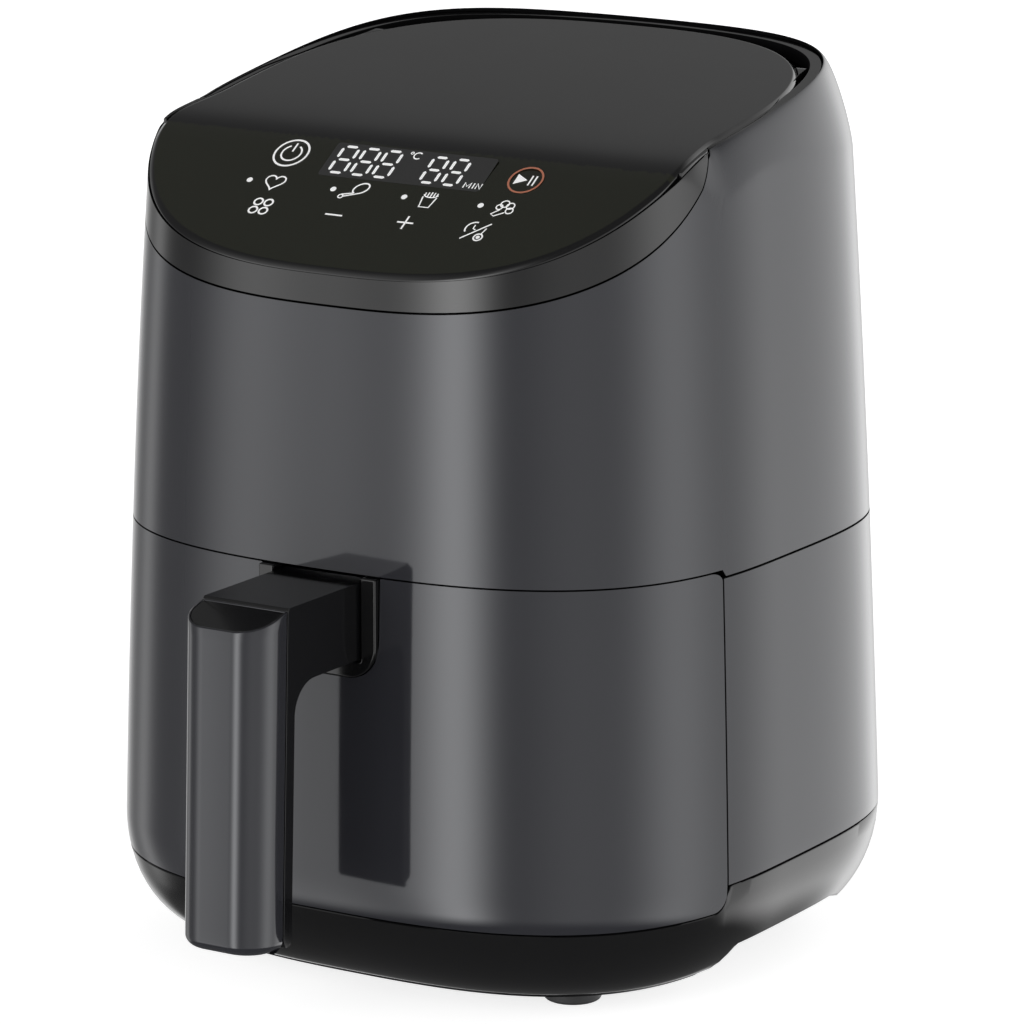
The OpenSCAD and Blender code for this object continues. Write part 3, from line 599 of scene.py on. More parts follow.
def cover_outline():
    points = []
    for phi in steps(0.0, math.pi, 500)[:-1]:
        points.append(ring_point(phi, COVER_W, COVER_REAR, COVER_POW))
    for phi in steps(math.pi, FULL, 900)[:-1]:
        y = body_xy(phi, TOP_Z)[1]
        for _ in range(12):
            y = 0.5 * y + 0.5 * body_xy(phi, top_h(y), cover_inset(y))[1]
        x = body_xy(phi, top_h(y), cover_inset(y))[0]
        points.append((x, y))
    return resample(points, 520)


CHAMFER_W, CHAMFER_H = 1.35, 0.75
rim_line = cover_outline()


def lifted(points, drop):
    return [(x, y, top_h(y) - drop) for x, y in points]


cover_rings = [lifted(moved_in(rim_line, 0.25), COVER_T), lifted(rim_line, COVER_T - 0.25)]
cover_rings += [lifted(rim_line, CHAMFER_H + 0.25), lifted(moved_in(rim_line, 0.08), CHAMFER_H)]
cover_rings += [lifted(moved_in(rim_line, CHAMFER_W - 0.1), 0.05)]
cover_rings += [lifted(moved_in(rim_line, CHAMFER_W), 0.0)]
cover_rings += [lifted(moved_in(rim_line, CHAMFER_W + 0.35), 0.0)]
inside = moved_in(rim_line, CHAMFER_W + 0.35)
FOCUS_Y = -6.0
for f in steps(1.0, 0.0, 60)[1:-1]:
    cover_rings.append(lifted([(x * f, FOCUS_Y + (y - FOCUS_Y) * f) for x, y in inside], 0.0))
under = moved_in(rim_line, 0.25)
low_rings = [
    lifted([(x * f, FOCUS_Y + (y - FOCUS_Y) * f) for x, y in under], COVER_T)
    for f in steps(0.0, 1.0, 24)[1:-1]
]
cover = finish_piece(
    stack_mesh(low_rings + cover_rings), "top_cover_moulded", "root", "gloss_black", ["top_cover"]
)

TRIM_END_Y = 69.0


def rim_width(y):
    """Width of the outer rim: a fine line along the sides, wider towards the rear corners."""
    return mix(0.75, mix(3.4, 3.2, smooth(50, 85, y)), smooth(6, 34, y))


def slit(y):
    """Opening between the trim and the rim, leaf-shaped in plan."""
    return 0.3 + 2.0 * smooth(28, 46, y) * (1 - smooth(48, 59, y))


rim_phis = spread(
    tip_phi + 0.02, FULL + math.pi - tip_phi + FULL - 0.02, PITCH * 0.8, fine=6.0, fine_n=6
)


def rim_rows(profile):
    """Rows of points along the rim; profile gives inset and drop for each row from phi and y."""
    rows = []
    for inset_of, drop in profile:
        row = []
        for phi in rim_phis:
            y = column(phi)[0]
            inset = inset_of(phi, y)
            px, py = body_xy(phi, top_h(y), inset)
            row.append((px, py, top_h(py) - drop))
        rows.append(row)
    return rows


RIM_CLEAR = 0.25


def rim_out(phi, _):
    return shoulder_in(phi) + RIM_CLEAR


def rim_in(phi, y):
    return shoulder_in(phi) + RIM_CLEAR + rim_width(y)


RIM_H, RIM_EDGE = 4.0, 0.25
outer = rim_rows([(rim_out, RIM_H), (rim_out, 0.35), (lambda p, y: rim_out(p, y) + RIM_EDGE, 0.05)])
inner = rim_rows([(rim_in, RIM_H), (rim_in, 0.35), (lambda p, y: rim_in(p, y) - RIM_EDGE, 0.05)])
finish_piece(
    wall_mesh(outer, inner, show_top=True), "top_rim_outer", "root", "gloss_black", ["top_rim"],
    bevel=0.06, segments=2
)


def cover_x(y):
    """Half-width of the cover's outline at depth y."""
    if y >= 0:
        return COVER_W * max(0.0, 1 - (y / COVER_REAR) ** COVER_POW) ** (1 / COVER_POW)
    z, inset = top_h(y), cover_inset(y)
    d = depth(z, True) - inset
    return (half_w(z) - inset) * max(0.0, 1 - (abs(y) / d) ** FRONT_POW) ** (1 / FRONT_POW)


def body_x(y, z, inset):
    ahead = y < 0
    p = FRONT_POW if ahead else REAR_POW
    d = depth(z, ahead) - inset
    return (half_w(z) - inset) * max(0.0, 1 - (abs(y) / d) ** p) ** (1 / p)


def trim_outer_x(y):
    z = top_h(y)
    phi = angle_at(y < 0, y=y, z=REF_Z)
    if y < TIP_Y + 1.5:
        return body_x(y, z, side_row(phi, z - edge_drop(phi), z) + 0.1)
    return body_x(y, z, shoulder_in(phi) + RIM_CLEAR + rim_width(y) + slit(y))


TRIM_START_Y, TRIM_LEAST_W = -39.0, 0.45
trim_ys = [y for y in steps(TRIM_START_Y, TRIM_END_Y, 110)
           if trim_outer_x(y) - cover_x(y) > TRIM_LEAST_W]
for side, s in (("left", -1), ("right", 1)):
    rings = []
    for y in trim_ys:
        a, b = cover_x(y) + 0.18, trim_outer_x(y)
        fall = 7.0 * smooth(55, TRIM_END_Y, y)
        z = top_h(y) - 0.3 - fall
        low = z - 2.0
        ring = [(a, low), (a, z - 0.15), (a + 0.08, z), (b - 0.08, z), (b, z - 0.15), (b, low)]
        rings.append([(s * x, y, h) for x, h in ring])
    finish_piece(stack_mesh(rings), f"top_trim_{side}", "root", "gloss_black", sharp=50)

# ---- Drawer front ----

COLLAR_W, COLLAR_LOW, COLLAR_R = 20.2, 99.8, 10.2
NOTCH_Z = COLLAR_LOW + COLLAR_R
NOTCH_BASE = 88.0


def notch_edge(x):
    """Height of the notch's lower edge at x, for the collar's rounded U."""
    over = max(0.0, min(COLLAR_R, abs(x) - (COLLAR_W - COLLAR_R)))
    return COLLAR_LOW + COLLAR_R - math.sqrt(COLLAR_R ** 2 - over ** 2)


def drawer_point(phi, z, inset):
    """Point of the drawer's sheet; near the middle the columns stand upright."""
    x, y, _ = body_point(phi, z, inset)
    x0 = body_xy(phi, SEAM_Z)[0]
    follow = smooth(COLLAR_W + 1, 62, abs(x0))
    if follow < 1:
        a, d = half_w(z) - inset, depth(z, True) - inset
        x = x0 * mix(1.0, a / half_w(SEAM_Z), follow)
        y = -d * (1 - (abs(x) / a) ** FRONT_POW) ** (1 / FRONT_POW)
    return x, y, z


notch_r = angle_at(True, x=COLLAR_W)
bend_r = angle_at(True, x=COLLAR_W - COLLAR_R)
notch_l, bend_l = 3 * math.pi - notch_r, 3 * math.pi - bend_r
drawer_phis = joined(
    spread(PHI_L, notch_l, PITCH, fine=6.0, fine_n=8),
    spread(notch_l, bend_l, 0.9),
    spread(bend_l, bend_r, PITCH),
    spread(bend_r, notch_r, 0.9),
    spread(notch_r, PHI_R, PITCH, fine=6.0, fine_n=8),
)
LOW_ROWS, MID_ROWS, HIGH_ROWS = ((44, 14, 14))


def drawer_rows(inset):
    columns = []
    for phi in drawer_phis:
        drop = corner_drop(phi)
        low = DRAWER_LOW_Z + GAP / 2 + drop
        high = SEAM_Z - GAP / 2 - 0.6 * drop
        x0 = abs(body_xy(phi, SEAM_Z)[0])
        cut = notch_edge(x0) if x0 <= COLLAR_W + 1e-6 else NOTCH_Z
        zs = [low + 2.0 * f for f in (0.0, 0.25, 0.6)]
        zs += steps(low + 2, NOTCH_BASE, LOW_ROWS)
        zs += steps(NOTCH_BASE, cut, MID_ROWS)[1:]
        zs += steps(NOTCH_Z, high, HIGH_ROWS)[1:]
        columns.append([drawer_point(phi, z, inset) for z in zs])
    return [[col[k] for col in columns] for k in range(len(columns[0]))]


def in_notch(k, i):
    first = len(drawer_outer) - 1 - HIGH_ROWS
    a, b = drawer_phis[i], drawer_phis[i + 1]
    return k >= first and a >= notch_l - 1e-9 and b <= notch_r + 1e-9


drawer_outer, drawer_inner = drawer_rows(0.0), drawer_rows(DRAWER_T)
finish_piece(
    wall_mesh(drawer_outer, drawer_inner, hole=in_notch),
    "drawer_front_shell", "drawer", "housing_grey", ["drawer_front"], bevel=0.3,
    painted_edge_shade=True
)


def prism_mesh(outline, origin, along, thickness, axes):
    """Solid of an outline given in two axes, thickened along the third."""
    bm = bmesh.new()
    ends = []
    for t in (0.0, thickness):
        row = []
        for u, v in outline:
            p = [origin[i] + axes[0][i] * u + axes[1][i] * v + along[i] * t for i in range(3)]
            row.append(bm.verts.new(place(p)))
        ends.append(row)
    bm.faces.new(ends[0])
    bm.faces.new(list(reversed(ends[1])))
    n = len(outline)
    for i in range(n):
        j = (i + 1) % n
        bm.faces.new((ends[0][j], ends[0][i], ends[1][i], ends[1][j]))
    return bm


X_AXIS, Y_AXIS, Z_AXIS = (1, 0, 0), (0, 1, 0), (0, 0, 1)


def u_outline(w, low, r, high):
    return ([(w, high), (-w, high)] + arc(-w + r, low + r, r, 180, 270, 12)
            + arc(w - r, low + r, r, 270, 360, 12))


collar_high = SEAM_Z - GAP / 2
outside = u_outline(20.0, 100.0, 10.0, collar_high)
inside_u = u_outline(15.0, 105.0, 0.8, collar_high)
collar = outside[1:] + [outside[0]] + [inside_u[0]] + list(reversed(inside_u[1:]))
finish_piece(
    prism_mesh(collar, (0, -86.4, 0), (0, -1, 0), 5.6, (X_AXIS, Z_AXIS)),
    "handle_collar_moulded", "drawer", "gloss_black", ["handle_collar"], bevel=0.6, segments=4
)

# ---- Handle ----

HANDLE_W, COVER_D, GRIP_H = 29.0, 14.5, 99.0
LEAN = math.radians(2.2)
GROOVE_Y, ARM_TOP, ARM_LOW, ARM_FILLET = 127.0, SEAM_Z - 1.7, 105.8, 10.0
GRIP_BACK, GRIP_SPLIT, FLANGE_Y = 3.6, 0.5, 86.0
CAP_SLOPE = math.radians(19)


def lean(y, z):
    """A point of the leaning grip in its depth and height, as depth and height of the body."""
    return (-GROOVE_Y + y * math.cos(LEAN) + z * math.sin(LEAN),
            ARM_TOP - y * math.sin(LEAN) + z * math.cos(LEAN))


def cap_plane(y, drop=0.0):
    return math.tan(CAP_SLOPE) * y - (0.45 + drop) / math.cos(CAP_SLOPE)


def d_outline(inset):
    w, r, front = HANDLE_W / 2 - inset, 10 - inset, -COVER_D + inset
    back = 0.8
    n = 18
    return (
        arc(w - back, -GRIP_SPLIT - back, back, 0, 90, 4)
        + arc(-w + back, -GRIP_SPLIT - back, back, 90, 180, 4)
        + arc(-w + r, front + r, r, 180, 270, n)
        + arc(w - r, front + r, r, 270, 360, n)
    )


def grip_ring(outline, height_of):
    out = []
    for x, y in outline:
        fy, fz = lean(y, height_of(y))
        out.append((x, fy, fz))
    return out


def d_ring(inset, height_of):
    """Ring of the D-shaped section, moved in evenly."""
    base = d_outline(0.0)
    line = moved_in(base, inset) if inset else base
    return grip_ring(line, height_of)


BOTTOM_R = 3.6
grip_rings = []
for a in steps(0, 90, 9):
    t = math.radians(a)
    inset = BOTTOM_R * (1 - math.sin(t))
    height = -GRIP_H + BOTTOM_R * (1 - math.cos(t)) * 0.9
    grip_rings.append(d_ring(inset, lambda y, h=height: h))
low_end = -GRIP_H + BOTTOM_R * 0.9
for f in steps(0.0, 1.0, 30)[1:]:
    grip_rings.append(d_ring(0.0, lambda y, f=f: mix(low_end, cap_plane(y) - 0.3, f)))
grip_rings += [d_ring(0.1, lambda y: cap_plane(y) - 0.08), d_ring(0.3, lambda y: cap_plane(y))]
grip_rings += [d_ring(0.55, lambda y: cap_plane(y)), d_ring(0.62, lambda y: cap_plane(y) - 0.12)]
grip_rings += [d_ring(0.64, lambda y: cap_plane(y) - 2.9)]
finish_piece(
    stack_mesh(grip_rings), "handle_cover_moulded", "drawer", "housing_grey", ["handle_cover"], sharp=55
)

cap_rings = [d_ring(0.78, lambda y: cap_plane(y, 2.6)), d_ring(0.78, lambda y: cap_plane(y, 0.22))]
cap_rings += [d_ring(0.86, lambda y: cap_plane(y, 0.1)), d_ring(1.0, lambda y: cap_plane(y, 0.06))]
finish_piece(stack_mesh(cap_rings), "handle_cap_moulded", "drawer", "gloss_black", ["handle_cap"],
             sharp=12)

rear_y = lean(GRIP_BACK, ARM_LOW - ARM_TOP - ARM_FILLET)[0]
side_line = [(-FLANGE_Y, ARM_TOP), lean(-GRIP_SPLIT + 0.6, 0), lean(-GRIP_SPLIT, -0.8)]
side_line += [lean(-GRIP_SPLIT, -GRIP_H + 3), lean(GRIP_SPLIT, -GRIP_H + 0.8)]
side_line += [lean(GRIP_SPLIT + 1.4, -GRIP_H + 0.8)]
side_line += [lean(u, v) for u, v in arc(GRIP_BACK - 2, -GRIP_H + 3, 2, -80, 0, 5)]
side_line += arc(rear_y + ARM_FILLET, ARM_LOW - ARM_FILLET, ARM_FILLET, 180, 90, 14)
side_line += [(-FLANGE_Y, ARM_LOW)]
body_bm = prism_mesh(side_line, (-HANDLE_W / 2, 0, 0), X_AXIS, HANDLE_W, (Y_AXIS, Z_AXIS))
flange = [(-24, 98), (24, 98), (24, 127), (-24, 127)]
flange_bm = prism_mesh(flange, (0, -84.4, 0), (0, -1, 0), 2.0, (X_AXIS, Z_AXIS))
extra = bpy.data.meshes.new("flange")
flange_bm.to_mesh(extra)
flange_bm.free()
body_bm.from_mesh(extra)
bpy.data.meshes.remove(extra)
finish_piece(
    body_bm, "handle_arm", "drawer", "handle_black", ["handle_body"], bevel=1.0, segments=4, angle=35
)

# ---- Basket ----


def rounded_rect(half, r, inset=0.0, n=12):
    out = []
    for q in range(4):
        sx = 1 if q in (0, 3) else -1
        sy = 1 if q < 2 else -1
        for a in steps(0, 90, n):
            t = math.radians(q * 90 + a)
            rr = max(r - inset, 0.5)
            out.append((sx * (half - r) + rr * math.cos(t), sy * (half - r) + rr * math.sin(t)))
    return out


def basket_ring(half, z, r=22.0):
    return [(x, y + CORE_Y, z) for x, y in rounded_rect(half, max(r + half - 74.0, 1.0))]


BASKET, B_LOW, B_TOP, B_WALL, B_ROUND, LIP = 74.0, 38.0, 122.0, 1.5, 6.0, 3.5
rings = [basket_ring(BASKET - B_ROUND * (1 - math.sin(math.radians(a))),
                     B_LOW + B_ROUND * (1 - math.cos(math.radians(a)))) for a in steps(0, 90, 6)]
rings += [basket_ring(BASKET, z) for z in (60, 90, B_TOP - 1.5)]
rings += [basket_ring(BASKET + LIP - 0.4, B_TOP - 1.5), basket_ring(BASKET + LIP, B_TOP - 1.1)]
rings += [basket_ring(BASKET + LIP, B_TOP - 0.4), basket_ring(BASKET + LIP - 0.4, B_TOP)]
rings += [basket_ring(BASKET - 0.6, B_TOP), basket_ring(BASKET - B_WALL, B_TOP - 0.9)]
rings += [basket_ring(BASKET - B_WALL, z) for z in (90, 60)]
rings += [basket_ring(BASKET - B_WALL - (B_ROUND - 1.5) * (1 - math.sin(math.radians(a))),
                      B_LOW + B_WALL + (B_ROUND - 1.5) * (1 - math.cos(math.radians(a))))
          for a in steps(90, 0, 6)]
finish_piece(stack_mesh(rings), "basket_formed", "drawer", "coated_steel", ["basket"], sharp=60)

# ---- Printed marks on the sloped panel ----

PANEL_MID_Y = -61.0
TILT = math.atan(PANEL_SLOPE)
LINE = 0.55


def on_panel(u, v, lift):
    """A point of the panel: u across, v up the slope from its middle line, lift along its normal."""
    y = PANEL_MID_Y + v * math.cos(TILT)
    z = top_h(PANEL_MID_Y) + v * math.sin(TILT)
    return place((u, y - lift * math.sin(TILT), z + lift * math.cos(TILT)))


PRINT_T = 0.05


def add_patch(bm, outline, lift=PRINT_T):
    """A thin solid patch of print with the given outline."""
    low = [bm.verts.new(on_panel(u, v, lift - 0.045)) for u, v in outline]
    high = [bm.verts.new(on_panel(u, v, lift)) for u, v in outline]
    bm.faces.new(high)
    bm.faces.new(list(reversed(low)))
    n = len(outline)
    for i in range(n):
        j = (i + 1) % n
        bm.faces.new((low[i], low[j], high[j], high[i]))


def add_band(bm, inner_line, outer_line, closed=True, lift=PRINT_T):
    """A thin solid strip of print between two lines of points."""
    n = len(inner_line)
    under = lift - 0.045
    section = ((inner_line, under), (outer_line, under), (outer_line, lift), (inner_line, lift))
    rows = [[bm.verts.new(on_panel(u, v, h)) for u, v in line] for line, h in section]
    for r in range(4):
        a, b = rows[r], rows[(r + 1) % 4]
        for i in range(n if closed else n - 1):
            j = (i + 1) % n
            bm.faces.new((a[i], a[j], b[j], b[i]))
    if not closed:
        for i in (0, n - 1):
            bm.faces.new([row[i] for row in rows])


def add_stroke(bm, points, width=LINE, closed=False, lift=PRINT_T):
    """A line of print of even width through points."""
    n = len(points)
    left, right = [], []
    for i, p in enumerate(points):
        q = points[i - 1] if (i > 0 or closed) else p
        r = points[(i + 1) % n] if (i < n - 1 or closed) else p
        tx, ty = r[0] - q[0], r[1] - q[1]
        k = width / 2 / max(math.hypot(tx, ty), 1e-9)
        left.append((p[0] - ty * k, p[1] + tx * k))
        right.append((p[0] + ty * k, p[1] - tx * k))
    add_band(bm, left, right, closed, lift)


def circle(u, v, ru, rv=None, n=40, a0=0.0, a1=360.0, tilt=0.0):
    rv = rv or ru
    count = n if a1 - a0 >= 360 else n + 1
    out = []
    for i in range(count):
        a = math.radians(a0 + (a1 - a0) * i / n)
        x, y = ru * math.cos(a), rv * math.sin(a)
        t = math.radians(tilt)
        out.append((u + x * math.cos(t) - y * math.sin(t), v + x * math.sin(t) + y * math.cos(t)))
    return out


def add_digit(bm, u, v, w, h):
    """Seven lit bars of a digit whose lower left corner is at u, v."""
    t, cut = 0.95, 0.75

    def bar(x0, y0, x1, y1):
        lx, ly = x1 - x0, y1 - y0
        size = math.hypot(lx, ly)
        dx, dy = lx / size, ly / size
        a, b = (x0 + dx * cut, y0 + dy * cut), (x1 - dx * cut, y1 - dy * cut)
        tx, ty = dx * t / 2, dy * t / 2
        add_patch(bm, [
            a, (a[0] - ty + tx, a[1] + tx + ty), (b[0] - ty - tx, b[1] + tx - ty),
            b, (b[0] + ty - tx, b[1] - tx - ty), (a[0] + ty + tx, a[1] - tx + ty)
        ])
    mid = v + h / 2
    bar(u, v, u + w, v)
    bar(u, mid, u + w, mid)
    bar(u, v + h, u + w, v + h)
    for x in (u, u + w):
        bar(x, v, x, mid)
        bar(x, mid, x, v + h)


display_bm = bmesh.new()
corner = 1.0
window = []
for cu, cv, a in ((29.7, 21.3, 0), (-23.2, 21.3, 90), (-23.2, 9.3, 180), (29.7, 9.3, 270)):
    window += arc(cu, cv, corner, a, a + 90, 6)
add_patch(display_bm, window, 0.0)
finish_piece(display_bm, "display_window", "root", "gloss_black", sharp=30, finish="display")

print_bm = bmesh.new()
for u in (-21.4, -13.9, -6.4):
    add_digit(print_bm, u, 9.9, 5.3, 11.0)
for u in (9.9, 17.3):
    add_digit(print_bm, u, 9.8, 5.0, 10.6)
add_stroke(print_bm, circle(1.9, 21.0, 0.45, n=16), 0.3, True)
add_stroke(print_bm, circle(4.2, 20.1, 1.3, 1.3, 24, 45, 315), 0.42)
MIN_LOW, MIN_HIGH = 9.4, 11.6
letter_m = [(25.0, MIN_LOW), (25.0, MIN_HIGH), (26.0, MIN_LOW + 0.6), (27.0, MIN_HIGH), (27.0, MIN_LOW)]
letter_n = [(29.1, MIN_LOW), (29.1, MIN_HIGH), (30.6, MIN_LOW), (30.6, MIN_HIGH)]
for letter in (letter_m, [(28.1, MIN_LOW), (28.1, MIN_HIGH)], letter_n):
    add_stroke(print_bm, letter, 0.4)

POWER = (-37.3, 15.8)
add_stroke(print_bm, circle(*POWER, 5.5, n=64), 0.62, True)
add_stroke(print_bm, circle(*POWER, 3.2, n=40, a0=118, a1=422), 0.55)
add_stroke(print_bm, [(POWER[0], POWER[1] + 0.6), (POWER[0], POWER[1] + 4.2)], 0.55)

PLAY = (43.2, 15.1)
arrow = ((-3.3, -2.1), (0.5, 0.0), (-3.3, 2.1))
add_patch(print_bm, [(PLAY[0] + du, PLAY[1] + dv) for du, dv in arrow])
for du in (1.6, 3.0):
    add_stroke(print_bm, [(PLAY[0] + du, PLAY[1] - 2.0), (PLAY[0] + du, PLAY[1] + 2.0)], 0.5)

for u in (-44.8, -15.7, 8.6, 34.4):
    add_patch(print_bm, circle(u, 3.1, 0.95, n=24))

HEART = (-36.2, 3.4)
heart = []
for i in range(48):
    a = 2 * math.pi * i / 48
    rise = 13 * math.cos(a) - 5 * math.cos(2 * a) - 2 * math.cos(3 * a) - math.cos(4 * a)
    heart.append((HEART[0] + 0.205 * 16 * math.sin(a) ** 3, HEART[1] + 0.205 * rise))
add_stroke(print_bm, heart, 0.5, True)

DRUM = (-8.3, 3.2)
leg = circle(DRUM[0] + 1.5, DRUM[1] + 1.3, 2.6, 1.9, 30, 250, 560, 40)
add_stroke(print_bm, leg, 0.5)
add_stroke(print_bm, [leg[0], (DRUM[0] - 2.9, DRUM[1] - 2.6)], 0.45)
add_stroke(print_bm, [leg[-1], (DRUM[0] - 3.7, DRUM[1] - 1.8)], 0.45)
add_stroke(print_bm, circle(DRUM[0] - 3.6, DRUM[1] - 2.6, 0.75, n=16), 0.4, True)

FRIES = (16.8, 3.0)
cup = [(FRIES[0] + du, FRIES[1] + dv) for du, dv in ((-2.3, 1.1), (-1.6, -3.1), (1.6, -3.1), (2.3, 1.1))]
add_stroke(print_bm, cup, 0.45)
add_stroke(print_bm, circle(FRIES[0], FRIES[1] + 2.1, 2.3, 1.1, 20, 180, 360), 0.4)
for k in range(5):
    u = FRIES[0] - 2.0 + k
    low, high = FRIES[1] + 0.9 + 0.25 * abs(k - 2), FRIES[1] + 3.2 - 0.2 * abs(k - 2)
    add_stroke(print_bm, [(u, low), (u, high)], 0.4)

TREE = (42.2, 2.7)
for du, dv, r in ((-0.4, 2.0, 1.35), (1.7, 1.4, 1.25), (2.2, -0.5, 1.15), (-1.6, 0.6, 1.0)):
    add_stroke(print_bm, circle(TREE[0] + du, TREE[1] + dv, r, n=22), 0.4, True)
trunk = ((-0.9, -0.4), (-3.0, -2.5), (-1.7, -3.2), (1.0, -1.4))
add_stroke(print_bm, [(TREE[0] + du, TREE[1] + dv) for du, dv in trunk], 0.4)

CLOVER = (-35.2, -7.0)
for du, dv in ((-1.75, 1.75), (1.75, 1.75), (-1.75, -1.75), (1.75, -1.75)):
    add_stroke(print_bm, circle(CLOVER[0] + du, CLOVER[1] + dv, 1.35, n=28), 0.6, True)

add_stroke(print_bm, [(-12.8, -7.15), (-7.0, -7.15)], 0.6)
add_stroke(print_bm, [(11.7, -7.0), (17.1, -7.0)], 0.6)
add_stroke(print_bm, [(14.4, -9.7), (14.4, -4.3)], 0.6)

TIMER = (38.2, -7.3)
add_stroke(print_bm, [(TIMER[0] - 3.6, TIMER[1] - 3.4), (TIMER[0] + 3.6, TIMER[1] + 3.6)], 0.5)
add_stroke(print_bm, circle(TIMER[0] - 1.2, TIMER[1] + 1.0, 2.6, n=24, a0=80, a1=215), 0.5)
hands = ((-1.3, 2.5), (-1.3, 1.0), (-0.4, 0.6))
add_stroke(print_bm, [(TIMER[0] + du, TIMER[1] + dv) for du, dv in hands], 0.4)
add_stroke(print_bm, circle(TIMER[0] + 1.9, TIMER[1] - 2.2, 1.35, n=22), 0.5, True)
add_patch(print_bm, circle(TIMER[0] + 1.9, TIMER[1] - 2.2, 0.65, n=18))
add_stroke(print_bm, [(TIMER[0] + 2.2, TIMER[1] - 0.9), (TIMER[0] + 2.9, TIMER[1] + 1.6)], 0.4)
finish_piece(print_bm, "panel_print", "root", "print_white", sharp=30)

ring_bm = bmesh.new()
add_stroke(ring_bm, circle(*PLAY, 5.2, n=64), 0.62, True)
finish_piece(ring_bm, "panel_ring", "root", "print_copper", sharp=30)

# ---- Materials ----


def node_kit(name):
    mat = bpy.data.materials.new(name)
    mat.use_nodes = True
    tree = mat.node_tree
    shader = tree.nodes["Principled BSDF"]
    place_node = tree.nodes.new("ShaderNodeNewGeometry")
    return mat, tree, shader, place_node.outputs["Position"]


def noise(tree, source, scale, detail=3.0, roughness=0.5):
    n = tree.nodes.new("ShaderNodeTexNoise")
    n.inputs["Scale"].default_value = scale
    n.inputs["Detail"].default_value = detail
    n.inputs["Roughness"].default_value = roughness
    tree.links.new(source, n.inputs["Vector"])
    return n.outputs["Fac"]


def ranged(tree, source, low, high, start=0.3, end=0.7):
    m = tree.nodes.new("ShaderNodeMapRange")
    m.inputs["From Min"].default_value = start
    m.inputs["From Max"].default_value = end
    m.inputs["To Min"].default_value = low
    m.inputs["To Max"].default_value = high
    tree.links.new(source, m.inputs["Value"])
    return m.outputs["Result"]


def tinted(tree, source, dark, light):
    m = tree.nodes.new("ShaderNodeMix")
    m.data_type = "RGBA"
    m.inputs["A"].default_value = (*dark, 1)
    m.inputs["B"].default_value = (*light, 1)
    tree.links.new(source, m.inputs["Factor"])
    return m.outputs["Result"]


def add_bump(tree, shader, source, strength, distance):
    b = tree.nodes.new("ShaderNodeBump")
    b.inputs["Strength"].default_value = strength
    b.inputs["Distance"].default_value = distance
    tree.links.new(source, b.inputs["Height"])
    tree.links.new(b.outputs["Normal"], shader.inputs["Normal"])


def moulded(name, colour, rough, spread_rough=0.03, vary=0.06, metal=0.0, ior=1.5,
            grain=900.0, bump=0.0, wear=0.0, stretch=None, tint=(1.0, 1.0, 1.0)):
    """Finish with slow colour drift, uneven roughness, and a fine grain or brushed lines."""
    mat, tree, shader, pos = node_kit(name)
    shader.inputs["Metallic"].default_value = metal
    shader.inputs["IOR"].default_value = ior
    shader.inputs["Specular Tint"].default_value = (*tint, 1)
    if stretch:
        m = tree.nodes.new("ShaderNodeMapping")
        m.inputs["Scale"].default_value = stretch
        tree.links.new(pos, m.inputs["Vector"])
        pos = m.outputs["Vector"]
    drift = noise(tree, pos, 18.0, 2.0)
    shade = ranged(tree, drift, 0.0, 1.0)
    dark = tuple(c * (1 - vary) for c in colour)
    light = tuple(min(1.0, c * (1 + vary)) for c in colour)
    tree.links.new(tinted(tree, shade, dark, light), shader.inputs["Base Color"])
    patches = noise(tree, pos, 55.0, 4.0)
    fine = noise(tree, pos, grain, 2.0)
    both = tree.nodes.new("ShaderNodeMath")
    both.operation = "MULTIPLY_ADD"
    tree.links.new(fine, both.inputs[0])
    both.inputs[1].default_value = 0.35 + wear
    tree.links.new(patches, both.inputs[2])
    tree.links.new(ranged(tree, both.outputs[0], rough - spread_rough, rough + spread_rough, 0.45, 0.95),
                   shader.inputs["Roughness"])
    if bump:
        add_bump(tree, shader, fine, bump, 0.00005)
    return mat


